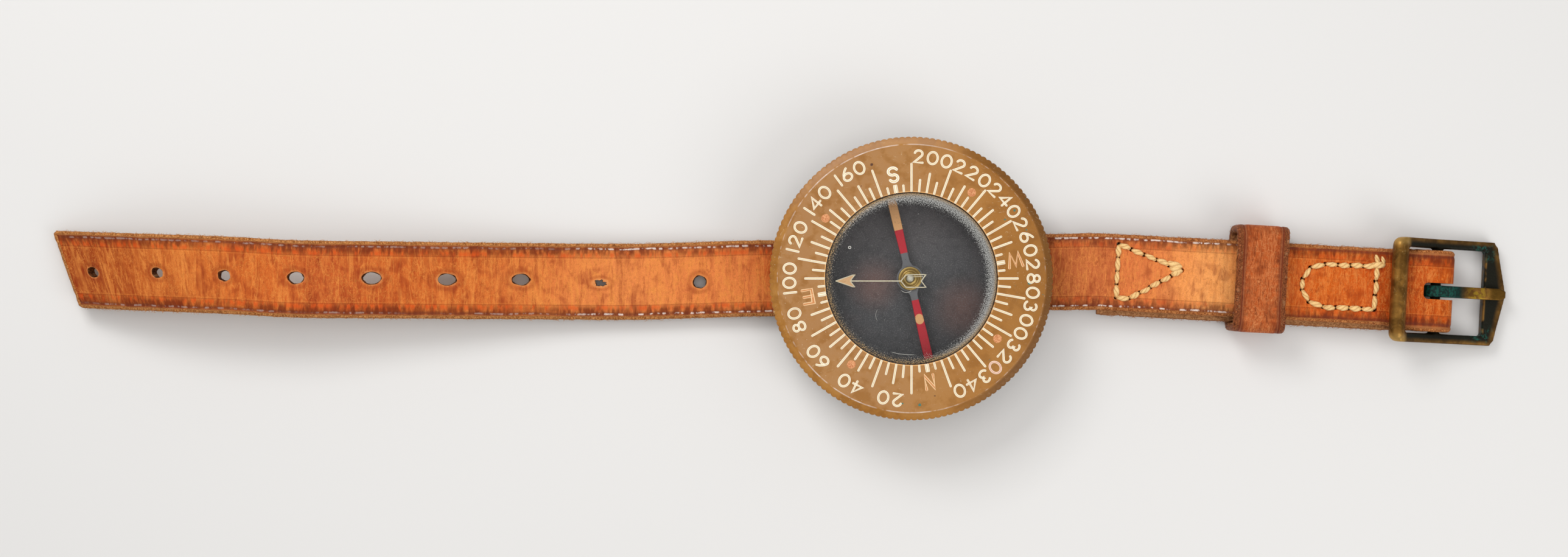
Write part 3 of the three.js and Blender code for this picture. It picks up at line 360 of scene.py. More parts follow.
@dataclass
class Shape:
    """Points and faces gathered for one mesh, in millimetres, with a flat layout for every face corner."""

    points: list[Point] = field(default_factory=list)
    faces: list[tuple[int, ...]] = field(default_factory=list)
    layout: list[Flat] = field(default_factory=list)
    paints: list[int] = field(default_factory=list)

    def face(self, corners: Sequence[int], flat: Sequence[Flat] | None = None, paint: int = 0) -> None:
        """Adds one face.

        Args:
            corners: Numbers of its points.
            flat: Layout of its corners, or none for a view from above.
            paint: Number of its finish.
        """
        self.faces.append(tuple(corners))
        self.layout.extend(flat or [self.points[corner][:2] for corner in corners])
        self.paints.append(paint)

    def grid(
        self,
        rows: Sequence[Sequence[Point]],
        flat: Callable[[int, int], Flat] | None = None,
        closed: bool = False,
        wrapped: bool = False,
        paint: Callable[[int, int], int] | int = 0,
        ends: tuple[int, Flat | None] | None = None,
    ) -> None:
        """Adds four-sided faces between rows of points.

        Args:
            rows: Rows of equal length.
            flat: Layout for a row and column.
            closed: Whether each row joins its own start.
            wrapped: Whether the last row joins the first.
            paint: Finish, or the finish for a row and column.
            ends: Finish and layout point of faces that close both ends, or none.
        """
        base, count = len(self.points), len(rows[0])
        for row in rows:
            self.points.extend(row)
        for i in range(len(rows) - (0 if wrapped else 1)):
            for j in range(count - (0 if closed else 1)):
                spots = [(i, j), (i + 1, j), (i + 1, j + 1), (i, j + 1)]
                corners = [base + a % len(rows) * count + b % count for a, b in spots]
                finish = paint(i, j) if callable(paint) else paint
                self.face(corners, [flat(*spot) for spot in spots] if flat else None, finish)
        for start in (base, base + (len(rows) - 1) * count) if ends else ():
            self.face(range(start, start + count), [ends[1]] * count if ends[1] else None, ends[0])

    def lathe(
        self,
        profile: Sequence[Flat],
        steps: int,
        swell: Callable[[int, float], float] | None = None,
        middle: Flat = (0, 0),
    ) -> Shape:
        """Turns a closed profile about an upright axis.

        Args:
            profile: Its points, by radius and height.
            steps: Facets round.
            swell: Extra radius of a profile point at an angle.
            middle: Place of the axis.

        Returns:
            This shape.
        """
        rows = []
        for i in range(steps):
            angle = math.tau * i / steps
            extra = [swell(k, angle) if swell else 0 for k in range(len(profile))]
            spots = [(*on_circle(r + e, angle), z) for (r, z), e in zip(profile, extra)]
            rows.append([(middle[0] + x, middle[1] + y, z) for x, y, z in spots])
        self.grid(rows, closed=True, wrapped=True)
        return self

    def tube(
        self,
        path: Sequence[Point],
        radii: Sequence[float],
        sides: int,
        flatten: float = 1,
        strands: int = 0,
        twist: float = 0,
    ) -> None:
        """Adds a bar along a path.

        Args:
            path: Points of its middle.
            radii: Radius at each point.
            sides: Facets round it.
            flatten: Height as a share of width.
            strands: Lobes round it, or 0 for a smooth bar.
            twist: Turns of the lobes along it.
        """
        rows = []
        for i, (spot, radius) in enumerate(zip(path, radii)):
            ahead = Vector(path[min(i + 1, len(path) - 1)]) - Vector(path[max(i - 1, 0)])
            across = Vector((-ahead.y, ahead.x, 0))
            across = across.normalized() if across.length > 1e-6 else Vector((1, 0, 0))
            up = ahead.cross(across).normalized()
            row = []
            for k in range(sides):
                angle = math.tau * k / sides
                lobe = math.cos(strands * (angle + math.tau * twist * i / len(path) / max(strands, 1)))
                reach = radius * (1 + (0.13 * lobe if strands else 0))
                offset = across * math.cos(angle) * reach + up * math.sin(angle) * reach * flatten
                row.append(tuple(Vector(spot) + offset))
            rows.append(row)
        length = len(path)
        self.grid(rows, lambda a, b: (a / length * 3, b / sides), True, ends=(0, (0, 0)))

    def stroke(
        self,
        line: Sequence[Flat],
        half: float,
        level: Callable[[float, float], float] | float,
        rim: float = 0.035,
        paint: int = 0,
    ) -> None:
        """Adds a painted groove as a low ribbon with raised rims.

        Args:
            line: Its middle, closed where it ends on its first point.
            half: Half of its width.
            level: Height of its face, or the height at a point.
            rim: Height of its rims.
            paint: Finish.
        """
        loop = math.dist(line[0], line[-1]) < 1e-6
        spots = list(line[:-1]) if loop else list(line)
        spots = [(spot, 1) for spot in spots]
        if not loop:
            head, tail = Vector(line[0]) - Vector(line[1]), Vector(line[-1]) - Vector(line[-2])
            head, tail = head.normalized() * half, tail.normalized() * half
            round_off = [(0.4, 0.92), (0.75, 0.66), (0.96, 0.28)]
            front = [(tuple(Vector(line[0]) + head * a), b) for a, b in reversed(round_off)]
            back = [(tuple(Vector(line[-1]) + tail * a), b) for a, b in round_off]
            spots = front + spots + back
        section = [(-1, -0.02), (-0.72, rim), (0, 0.008), (0.72, rim), (1, -0.02), (0, -0.15)]
        rows, count = [], len(spots)
        for i, (spot, width) in enumerate(spots):
            before = spots[(i - 1) % count if loop else max(i - 1, 0)][0]
            after = spots[(i + 1) % count if loop else min(i + 1, count - 1)][0]
            ahead = (Vector(after) - Vector(before)).normalized()
            across = Vector((-ahead.y, ahead.x))
            near = (Vector(spot) - Vector(before)).normalized() if i else ahead
            square = max(0.55, abs(near.dot(ahead)))
            row = []
            for a, z in section:
                flat = Vector(spot) + across * a * half * width / square
                ground = level(flat.x, flat.y) if callable(level) else level
                row.append((flat.x, flat.y, ground + z))
            rows.append(row)
        across_at = [a for a, _ in section] + [-1]
        ends = None if loop else (paint, (0, half))
        self.grid(rows, lambda a, b: (a * 0.3, across_at[b] * half), True, loop, paint, ends)

    def plate(self, outline: Sequence[Point], thickness: float, paint: int = 0) -> None:
        """Adds a thin plate below an outline of its upper face."""
        rows = [list(outline), [(x, y, z - thickness) for x, y, z in outline]]
        self.grid(rows, closed=True, paint=paint, ends=(paint, None))

    def build(self, name: str, *finishes: Material, sharp: float = 38) -> Piece:
        """Makes the mesh piece.

        Args:
            name: Name of the piece.
            finishes: Its materials, in the order of the paints.
            sharp: Angle above which an edge stays crisp.

        Returns:
            The piece.
        """
        mesh = bpy.data.meshes.new(name)
        mesh.from_pydata([tuple(v * MM for v in point) for point in self.points], [], self.faces)
        layer = mesh.uv_layers.new(name=Mesher.LAYOUT)
        layer.data.foreach_set("uv", (np.array(self.layout, dtype=float) / Mesher.LAYOUT_SPAN).ravel())
        mesh.polygons.foreach_set("material_index", self.paints)
        for finish in finishes:
            mesh.materials.append(finish)
        piece = bpy.data.objects.new(name, mesh)
        bpy.context.scene.collection.objects.link(piece)
        Mesher.tidy(piece, sharp)
        return piece


class Mesher:
    """Ways of working on finished meshes."""

    LAYOUT = "layout"
    LAYOUT_SPAN = 400
    WELD = 0.002

    @staticmethod
    def tidy(piece: Piece, sharp: float) -> None:
        """Joins touching points, turns faces outwards and smooths the mesh.

        Args:
            piece: Piece to tidy.
            sharp: Angle above which an edge stays crisp.
        """
        work = bmesh.new()
        work.from_mesh(piece.data)
        bmesh.ops.remove_doubles(work, verts=work.verts, dist=Mesher.WELD * MM)
        bmesh.ops.recalc_face_normals(work, faces=work.faces)
        work.to_mesh(piece.data)
        work.free()
        piece.data.polygons.foreach_set("use_smooth", [True] * len(piece.data.polygons))
        piece.data.set_sharp_from_angle(angle=math.radians(sharp))

    @staticmethod
    def apply(piece: Piece) -> None:
        """Replaces a piece's mesh with what its modifiers make of it, and removes them."""
        graph = bpy.context.evaluated_depsgraph_get()
        mesh = bpy.data.meshes.new_from_object(piece.evaluated_get(graph))
        piece.modifiers.clear()
        piece.data = mesh

    @staticmethod
    def cut(piece: Piece, cutter: Piece, sharp: float = 38) -> None:
        """Takes one closed mesh out of another and deletes the cutter.

        Args:
            piece: Piece to cut.
            cutter: Shape of the cut.
            sharp: Angle above which an edge stays crisp.
        """
        modifier = piece.modifiers.new("cut", "BOOLEAN")
        modifier.operation = "DIFFERENCE"
        modifier.solver = "EXACT"
        modifier.use_self = True
        modifier.object = cutter
        Mesher.apply(piece)
        bpy.data.objects.remove(cutter)
        Mesher.tidy(piece, sharp)

    @staticmethod
    def softened(
        name: str, source: Piece, grain: float, rounds: int, turn: float, *finishes: Material
    ) -> Piece:
        """A copy of a piece with worn, rounded edges.

        Args:
            name: Name of the copy.
            source: Piece to copy.
            grain: Size of its small faces.
            rounds: Rounds of smoothing.
            turn: Direction of its straight sides, which the faces follow.
            finishes: Materials of the copy.

        Returns:
            The copy.
        """
        copy = bpy.data.objects.new(name, source.data.copy())
        copy.data.transform(Matrix.Rotation(-turn, 4, "Z"))
        bpy.context.scene.collection.objects.link(copy)
        remesh = copy.modifiers.new("remesh", "REMESH")
        remesh.mode = "VOXEL"
        remesh.voxel_size = grain * MM
        smooth = copy.modifiers.new("smooth", "SMOOTH")
        smooth.factor = 0.5
        smooth.iterations = rounds
        Mesher.apply(copy)
        copy.data.transform(Matrix.Rotation(turn, 4, "Z"))
        copy.data.materials.clear()
        for finish in finishes:
            copy.data.materials.append(finish)
        Mesher.tidy(copy, 60)
        return copy


class Rows(Enum):
    """Which way the fine wrinkles of a piece of leather run."""

    ACROSS = (1, 0.16, 1)
    ALONG = (0.3, 1, 1)


@dataclass(frozen=True)
class Leather(Finish):
    """Grain side of vegetable-tanned strap leather, with creased and darkened edges; its wrinkles, creases,
    pressed lines and holes carry painted shade and painted highlights.
    """

    name: str
    half: float
    zones: tuple[tuple[float, int, int, int], ...]
    crease: float = 1.1
    # The next four set the painted highlight on the crease lines: its whitish colour, its share, the stretch
    # where it is brightest and its share elsewhere.
    crease_colour: Colour = shade(236, 216, 204)
    crease_share: float = 0.85
    glossy_at: Flat = (5, 38)
    dull_share: float = 0.3
    streaky: float = 0.8
    crinkled: float = 0.5
    reddish: float = 0.6
    darkened: float = 1
    rim: Colour = shade(170, 108, 62)
    edge: Colour = shade(116, 42, 10)
    # This pale colour is the grain's hairlines, and also painted highlights on wrinkle ridges and beside
    # pressed lines.
    hairline: Colour = shade(244, 154, 72)
    # This dark colour is the leather's mottled darker tone, and also painted shade in wrinkle folds and round
    # holes.
    shadow: Colour = shade(134, 42, 10)
    rows: Rows = Rows.ACROSS
    wrinkle: float = 0.75
    gloss: float = 0.42
    fibre: float = 0.55
    line_width: float = 0.035
    holes: tuple[tuple[float, float, float, float], ...] = ()
    # Distance from the edge and share of a pressed line that is only painted: a line of painted shade with a
    # painted highlight beside it.
    pressed: Flat = (2.9, 0.3)
    burnt_at: float = -99

    def paint(self, g: Graph) -> Socket:
        """The shader, which reads the flat layout of the band: millimetres along and across."""
        at = g.sheet()
        along, across, _ = g.parts(at)
        inside = self.half - abs(across)
        first, last = self.zones[0][0], self.zones[-1][0]
        stops = [((place - first) / (last - first), shade(*screen)) for place, *screen in self.zones]
        drift = (g.noise(at, 9) - 0.5) * 14
        ramp = g.add("ShaderNodeValToRGB", {"stops": stops},
            {"Fac": (along + drift - first) / (last - first)})
        g.base = ramp.outputs["Color"]
        wide = g.stretched(at, 1, 2.5, 1)
        wander = (g.noise(wide, 6) - 0.5) * 0.5
        edge_place = inside + wander
        lie = g.stretched(at, *self.rows.value)
        streaks = g.noise(lie, self.wrinkle, 3, 0.5)
        broad = g.noise(lie, self.wrinkle * 2.8, 2, 0.5)
        clouds = g.noise(at, 4, 3, 0.4)
        mottle = g.noise(g.stretched(at, 1, 0.7, 1), 0.5, 4, 0.7)
        grain = g.noise(at, 0.15)
        lines = abs(g.noise(at, 0.7, 3, 0.8) - 0.5).step(self.line_width, 0) * clouds.step(0.34, 0.6)
        near_edge = edge_place.step(7, 2) * 0.5 + 0.5
        wavy = streaks.step(0.5, 0.32) * 0.8 + broad.step(0.48, 0.32) * 0.45
        g.lay(clouds.step(0.5, 0.32) * 0.4, self.shadow)
        # Wrinkles: painted shade in their folds, and pale lines on their ridges that are partly the grain's
        # own paler creases and partly painted highlight.
        g.lay(wavy * near_edge * self.streaky, self.shadow)
        g.lay((streaks.step(0.5, 0.7) * 0.36 + broad.step(0.52, 0.7) * 0.24) * self.streaky, self.hairline)
        crinkle = g.noise(g.stretched(lie, 1, 1.7, 1), 0.8, 2, 1.2)
        ridges = abs(g.noise(lie, self.wrinkle * 1.7, 2, 1.4) - 0.5).step(0.06, 0)
        g.lay(crinkle.step(0.48, 0.3) * self.crinkled, self.shadow)
        g.lay(abs(crinkle - 0.5).step(0.05, 0) * self.crinkled * clouds.step(0.3, 0.55), self.hairline)
        g.lay(ridges * self.streaky * broad.step(0.36, 0.56) * 0.75, self.hairline)
        g.lay(mottle.step(0.5, 0.3) * 0.22, self.shadow)
        g.lay(lines * self.fibre, self.hairline)
        g.lay(grain.step(0.6, 0.35) * 0.22, self.shadow)
        g.lay(g.specks(at, 1.7, 0.1, 0.16) * 0.5, self.shadow)
        # Round each hole: a ring of painted shade, and a pale worn rim at the hole's edge.
        for hole_along, hole_across, reach_x, reach_y in self.holes:
            from_x, from_y = (along - hole_along) * (1 / reach_x), (across - hole_across) * (1 / reach_y)
            far = g.far(from_x, from_y) + (streaks - 0.5) * 0.7
            g.lay(far.hump(1.7, 0.7) * 0.35, self.shadow)
            g.lay(far.step(1.4, 1.05) * 0.5, shade(220, 150, 92))
        dashes = g.noise(g.stretched(at, 1, 0.3, 1), 1)
        span = g.noise(wide, 15, 1)
        darker = edge_place.step(3.4, 1.7) * (dashes.step(0.66, 0.4) * 0.75 + 0.2)
        darker = darker * (span.step(0.3, 0.6) * 0.5 + 0.5)
        g.lay(darker.smaller(0.85) * self.darkened, self.edge)
        g.lay(edge_place.hump(2.4, 0.9) * dashes.step(0.44, 0.64) * self.reddish, shade(222, 84, 22))
        # Pressed line: a line of painted shade with a line of painted highlight beside it.
        g.lay(inside.hump(self.pressed[0], 0.2) * self.pressed[1], self.edge)
        g.lay(inside.hump(self.pressed[0] + 0.26, 0.16) * self.pressed[1] * 0.6, self.hairline)
        # A darker band across the strap at one place along it, set at the fold round the pin.
        g.lay(along.hump(self.burnt_at, 1.3) * (clouds * 0.5 + 0.6), self.edge)
        # Painted highlight: broken whitish glints along the crease lines, brightest over one stretch of the
        # strap.
        blobs = g.noise(g.stretched(at, 1, 0.5, 1), 1).step(0.42, 0.62)
        coming = g.noise(wide, 20, 1).step(0.36, 0.56)
        bright = abs(along - self.glossy_at[0]).step(self.glossy_at[1] + 6, self.glossy_at[1] - 6)
        coming = bright.larger(coming * self.dull_share)
        line = (edge_place.hump(self.crease, 0.4) * (0.25 + blobs)).step(0.35, 1.15)
        line = line * (1 - lines * 0.7) * coming
        # Painted shade: a darker band in the crease's groove.
        g.lay(edge_place.hump(self.crease, 0.62) * 0.7, shade(104, 46, 28))
        g.lay(edge_place.step(self.crease - 0.2, self.crease - 0.5) * 0.75, self.rim)
        g.lay((line * self.crease_share).smaller(0.95), self.crease_colour)
        rough = self.gloss + grain * 0.16 + mottle * 0.1 - line * 0.12
        height = streaks * 0.8 + broad * 0.7 + grain * 0.2 + mottle * 0.45 + lines * 0.15
        return g.surface(rough, g.bump(height, 0.2, 0.85), shine=0.14)


@dataclass(frozen=True)
class RawLeather(Finish):
    """Cut edge or flesh side of leather, with loose fibres."""

    name: str
    pale: Colour = shade(206, 150, 100)
    dark: Colour = shade(120, 66, 32)
    coarse: float = 0.5
    rough: float = 0.86

    def paint(self, g: Graph) -> Socket:
        """The shader."""
        at = g.sheet()
        fibres = g.noise(at, self.coarse * 0.6, 4, 1)
        tufts = g.noise(at, self.coarse * 4, 3)
        g.lay(fibres.step(0.36, 0.66), self.pale, self.dark)
        g.lay(tufts.step(0.55, 0.8) * 0.4, shade(228, 178, 128))
        g.lay(tufts.step(0.45, 0.25) * 0.5, shade(92, 48, 26))
        return g.surface(self.rough, g.bump(fibres + tufts * 0.5, 0.22, 0.9), shine=0.12)


@dataclass(frozen=True)
class Fuzz(Finish):
    """Loose fibres of raw leather or thread."""

    name: str
    colour: Colour = shade(214, 160, 104)

    def paint(self, g: Graph) -> Socket:
        """The shader."""
        g.lay(g.noise(g.sheet(), 3, 2).step(0.3, 0.7), shade(166, 98, 52), self.colour)
        return g.surface(0.8, shine=0.2)


@dataclass(frozen=True)
class Thread(Finish):
    """Waxed linen thread, laid up of strands, with painted shade between them."""

    name: str = "waxed_thread"
    straw: Colour = shade(255, 214, 148)
    grime: Colour = shade(188, 126, 62)

    def paint(self, g: Graph) -> Socket:
        """The shader."""
        at = g.place()
        lay = g.sheet()
        along, round_it, _ = g.parts(lay)
        strand = abs(g.math("FRACT", along * 0.8 + round_it * 3) - 0.5).step(0.5, 0.28)
        hairs = g.noise(g.stretched(at, 1, 1, 0.4), 0.22, 3, 0.8)
        g.lay(hairs.step(0.3, 0.7) * 0.55, shade(222, 172, 100), self.straw)
        # Painted shade between the twisted strands.
        g.lay((1 - strand) * 0.5, self.grime)
        g.lay(g.noise(at, 2.4).step(0.55, 0.75) * 0.35, self.grime)
        return g.surface(0.55, g.bump(hairs * 0.6 + strand, 0.1, 0.8), shine=0.35)


@dataclass(frozen=True)
class DialPlastic(Finish):
    """Aged ochre plastic of the bezel: handled, scratched, dusty, and spotted with verdigris; painted shade
    darkens its right side and painted highlights lie on the left of its bevel and edge.
    """

    name: str = "bezel_plastic_worn"
    ochre: Colour = shade(166, 110, 42)
    pale: Colour = shade(178, 124, 58)
    deep: Colour = shade(118, 72, 24)
    dust: Colour = shade(238, 228, 208)
    verdigris: Colour = shade(30, 120, 112)
    green_spots: tuple[Point, ...] = (
        (1.6, -24.9, 0.34), (20.3, 13.4, 0.26), (23.2, -0.9, 0.4), (-1.8, -24.6, 0.2), (18.4, 11.6, 0.2),
        (22.6, 9.6, 0.16)
    )
    dark_spots: tuple[Point, ...] = ((-7.85, 22.4, 0.33), (-9.9, 18.2, 0.12), (4.6, -23.1, 0.14))

    def paint(self, g: Graph) -> Socket:
        """The shader."""
        at = g.place()
        x, y, z = g.parts(at)
        out = g.far(x, y)
        clouds = g.noise(at, 11, 3, 0.3)
        mottle = g.noise(at, 2.2, 3)
        g.lay(clouds.step(0.35, 0.65) * 0.6, self.pale, self.ochre)
        dull = out.step(26.5, 26) * (mottle.step(0.3, 0.6) * 0.35 + 0.15) * x.step(22, -10)
        g.lay(dull, shade(170, 130, 92))
        g.lay(mottle.step(0.52, 0.35) * 0.28, self.deep)
        # Painted shade: darker towards the right side.
        g.lay(x.step(8, 28) * 0.3, self.deep)
        # Painted highlight: a paler band on the upper-left of the bevel.
        rim = out.step(26.45, 26.75) * z.step(15.6, 16.6)
        g.lay(rim * y.step(10, 24) * x.step(14, 2) * 0.35, shade(200, 160, 130))
        # Painted shade: the bevel darker on the right.
        g.lay(out.step(26.3, 26.9) * x.step(6, 18) * 0.62, shade(92, 56, 20))
        # Painted light: the bevel and skirt paler on the left, in mottled patches.
        skirt = out.hump(26.9, 0.75) * mottle.step(0.42, 0.62) * x.step(12, -8)
        g.lay(skirt * 0.25, shade(200, 150, 84))
        # The face's outer edge: a painted highlight on the upper and lower left, where lit is high, plus a
        # faint worn pale line all round.
        lit = y.step(9, 17) * x.step(12, 0) + y.step(-9, -17) * x.step(12, 2) + 0.04
        gaps = g.noise(at, 2).step(0.34, 0.54)
        edge_highlight = out.hump(26.42, 0.2) * z.step(16.5, 16.9) * lit.smaller(1) * gaps
        worn_line = out.hump(26.42, 0.14) * z.step(16.5, 16.9) * g.noise(at, 1.3).step(0.5, 0.62)
        g.lay((edge_highlight * 0.6 + worn_line * 0.35).smaller(0.9), shade(236, 218, 206))
        lip = out.step(17.3, 17.12) * g.noise(at, 1.1).step(0.3, 0.5)
        g.lay(lip * 0.8, shade(240, 186, 122))
        fine = g.scratches(at, 1.5, 0.006, 0.5) + g.scratches(g.stretched(at, 0.35, 1, 1), 0.9, 0.008, 0.35)
        g.lay((fine * 0.5).smaller(0.6), shade(220, 192, 150))
        g.lay(g.specks(at, 0.9, 0.07, 0.5) * (x.step(12, -16) * 0.5 + 0.4), self.dust)
        g.lay(g.specks(at, 0.4, 0.1, 0.25) * 0.4, self.dust)
        g.lay(g.specks(at, 1.7, 0.075, 0.3) * x.step(10, 20) * 0.8, self.verdigris)
        for spots, colour in ((self.green_spots, self.verdigris), (self.dark_spots, shade(64, 34, 34))):
            for spot_x, spot_y, size in spots:
                ragged = g.far(x - spot_x, y - spot_y) + (g.noise(at, 0.25) - 0.5) * 0.3
                g.lay(ragged.step(size, size * 0.7) * 0.85, colour)
        rough = 0.34 + mottle * 0.16 + fine.smaller(1) * 0.2
        return g.surface(rough, g.bump(mottle * 0.35 + g.noise(at, 0.5) * 0.25 - fine * 0.5, 0.05, 0.6),
            shine=0.3)


@dataclass(frozen=True)
class MouldedPlastic(Finish):
    """Plain moulded plastic with fine mottling and handling marks."""

    name: str
    colour: Colour
    deep: Colour
    rough: float = 0.45

    def paint(self, g: Graph) -> Socket:
        """The shader."""
        at = g.place()
        clouds = g.noise(at, 6, 3, 0.4)
        fine = g.noise(at, 0.5)
        marks = g.scratches(at, 3, 0.007, 0.5)
        g.lay(clouds.step(0.3, 0.7), self.colour, self.deep)
        g.lay(g.specks(at, 1.6, 0.08, 0.25) * 0.5, shade(214, 200, 176))
        g.lay(marks * 0.35, shade(210, 186, 150))
        normal = g.bump(fine * 0.5 + clouds - marks * 0.6, 0.05, 0.6)
        return g.surface(self.rough + fine * 0.12, normal)


@dataclass(frozen=True)
class GroovePaint(Finish):
    """Paint rubbed into an engraved line, with painted highlights on its rims and painted shade down its
    middle.
    """

    name: str
    rim: Colour
    middle: Colour
    half: float = 0.2
    wear: float = 0.3

    def paint(self, g: Graph) -> Socket:
        """The shader."""
        at = g.place()
        across = abs(g.parts(g.sheet())[1]) * (1 / self.half)
        dirt = g.noise(at, 0.55, 3)
        # Painted highlights on the rims and painted shade in the middle of the groove.
        g.lay(across.step(0.3, 0.62), self.rim, self.middle)
        g.lay(dirt.step(0.56, 0.75) * self.wear, shade(150, 104, 56))
        g.lay(g.noise(at, 5, 1).step(0.58, 0.8) * 0.2, shade(196, 150, 108))
        return g.surface(0.5, g.bump(dirt, 0.03, 0.6), shine=0.4)


@dataclass(frozen=True)
class LumePaint(Finish):
    """Old luminous compound: granular and gone orange."""

    name: str = "lume_aged"

    def paint(self, g: Graph) -> Socket:
        """The shader."""
        at = g.place()
        grains = g.noise(at, 0.22, 3, 0.5)
        g.lay(grains.step(0.35, 0.65), shade(236, 172, 122), shade(196, 122, 78))
        g.lay(g.specks(at, 0.45, 0.2, 0.25) * 0.6, shade(140, 76, 44))
        return g.surface(0.8, g.bump(grains, 0.12, 0.9), shine=0.2)


@dataclass(frozen=True)
class BowlPlastic(Finish):
    """Black bowl of the capsule, with a brownish haze and white dust in the liquid, painted reddish
    reflections and painted light towards the top.
    """

    name: str = "bowl_black"

    def paint(self, g: Graph) -> Socket:
        """The shader."""
        at = g.place()
        x, y, _ = g.parts(at)
        haze = g.noise(at, 8, 2, 0.6).step(0.5, 0.75) * 0.5
        # Painted reflection: two blurred reddish patches, on the left and to the lower right.
        left = g.far(x + 7, y + 1).step(7, 0.5)
        low = g.far(x - 11, y + 6).step(8, 0.5)
        g.lay(haze, shade(98, 90, 91), shade(80, 79, 82))
        g.lay(left.larger(low) * 0.6, shade(132, 96, 88))
        # Painted light: lighter towards the top.
        g.lay(y.step(-2, 12) * 0.6, shade(108, 102, 104))
        g.lay(g.noise(at, 0.22).step(0.5, 0.7) * 0.22, shade(170, 168, 168))
        g.lay(g.noise(at, 1.6, 4, 0.6).step(0.55, 0.3) * 0.25, shade(44, 44, 46))
        g.lay(g.specks(at, 0.7, 0.055, 0.4), shade(246, 246, 240))
        g.lay(g.specks(at, 0.5, 0.07, 0.12) * 0.7, shade(220, 220, 218))
        return g.surface(0.5, g.bump(g.noise(at, 0.8), 0.03, 0.5), shine=0.3)


@dataclass(frozen=True)
class ClearCrystal(Finish):
    """Clear dome, rubbed grey and tan round its shoulder, with a few fine scratches."""

    name: str = "crystal_clear"
    shoulder: float = 16.85

    def paint(self, g: Graph) -> Socket:
        """The shader."""
        at = g.place()
        x, y, z = g.parts(at)
        out = g.far(x, y)
        flat_at = g.stretched(at, 1, 1, 0)
        lean = (x * 0.8 + y * 0.5).step(-12, 15)
        depth = self.shoulder - out
        veil = (1 - depth.larger(0) / (lean * 0.9 + 2.3)).larger(0)
        grain = g.noise(flat_at, 0.18, 3)
        coarse = g.noise(flat_at, 0.7)
        cover = veil * (lean * 0.28 + 0.26) + (coarse - 0.5) * 0.16
        on_dome = out.step(17.4, 17) * (z + out * out * 0.0061).step(17.7, 18.2)
        worn = (grain + cover).step(0.68, 0.82) * veil.step(0.02, 0.2) * on_dome
        tan = (depth + lean * 0.7).step(1.7, 0.5) * (0.7 + coarse * 0.5)
        g.lay(tan.smaller(1), shade(196, 162, 112), shade(186, 186, 182))
        g.lay(grain.step(0.6, 0.42) * 0.7, shade(66, 62, 56))
        thin_arc = out.hump(15, 0.09) * (y * -1 - abs(x + 1.8) * 2.2).step(8.5, 11)
        bubble = g.far(x + 12.2, y - 6.1).hump(0.24, 0.12)
        nick = g.far(x + 1.1, y + 1.4).hump(1.35, 0.06) * (y + 2.2).step(0, -0.25)
        curl = g.far(x + 5.2, y + 7.2).hump(1.9, 0.06) * (x + 6.6).step(0, -0.3)
        fine = g.scratches(flat_at, 7, 0.0028, 0.35) * 0.5 + g.scratches(flat_at, 2.6, 0.004, 0.1) * 0.6
        specks = g.specks(flat_at, 1.15, 0.05, 0.45) * 0.7
        marks = (thin_arc * 0.55 + bubble * 0.8 + nick * 0.8 + curl * 0.5 + fine * 0.35
            + specks).smaller(0.9) * on_dome
        share = (worn * 0.8).larger(marks)
        g.lay(marks.step(0.1, 0.5) * (1 - worn), shade(236, 234, 224))
        solid = g.surface(0.5, shine=0.4)
        clear = g.add("ShaderNodeBsdfTransparent", None, {"Color": (0.96, 0.965, 0.96)}).outputs[0]
        gloss = g.add("ShaderNodeBsdfGlossy", None, {"Roughness": 0.04}).outputs[0]
        fresnel = g.add("ShaderNodeFresnel", None, {"IOR": 1.3}).outputs[0]
        glass = g.add("ShaderNodeMixShader", None, {0: fresnel, 1: clear, 2: gloss}).outputs[0]
        return g.add("ShaderNodeMixShader", None, {0: share, 1: glass, 2: solid}).outputs[0]


@dataclass(frozen=True)
class NeedlePaint(Finish):
    """Painted blade: grey by the hub, then red and tan as its two ends need."""

    name: str = "needle_painted"
    tan: Colour = shade(240, 178, 118)
    red: Colour = shade(200, 26, 46)
    grey: Colour = shade(112, 112, 116)
    dot: Point = (8.3, 0.9, 1.03)

    def paint(self, g: Graph) -> Socket:
        """The shader, which reads how far along the blade a point is."""
        along, across, _ = g.parts(g.sheet())
        at = g.place()
        wobble = (g.noise(at, 0.6) - 0.5) * 0.12
        place = along + wobble
        north = place.step(4.38, 4.42)
        south = place.step(-5.18, -5.22)
        tan = place.step(-9.88, -9.94)
        dot_x = (along - self.dot[0]) * (1 / self.dot[2])
        dot_y = across * (1 / self.dot[1])
        dot = (dot_x * dot_x + dot_y * dot_y + wobble).step(1.04, 0.96)
        dirt = g.noise(at, 0.35, 3)
        g.lay(north.larger(south), self.red, self.grey)
        g.lay(tan.larger(dot), self.tan)
        g.lay(dirt.step(0.56, 0.74) * 0.3, shade(120, 84, 62))
        g.lay(g.specks(at, 0.9, 0.1, 0.3) * 0.7, shade(60, 40, 34))
        return g.surface(0.48, g.bump(dirt, 0.03, 0.6))


@dataclass(frozen=True)
class Metal(Finish):
    """A metal with drawn lines, and random patches of duller tarnish and brighter wear."""

    name: str
    bright: Colour
    dull: Colour
    rough: float = 0.3

    def paint(self, g: Graph) -> Socket:
        """The shader."""
        at = g.place()
        clouds = g.noise(at, 1.6, 3, 0.5)
        lines = g.noise(g.stretched(at, 0.3, 1, 1), 0.12)
        g.lay(clouds.step(0.4, 0.68), self.dull, self.bright)
        g.lay(lines.step(0.6, 0.8) * 0.3, self.dull)
        return g.surface(self.rough + clouds * 0.22, g.bump(lines + clouds * 0.6, 0.02, 0.6), Metallic=1)


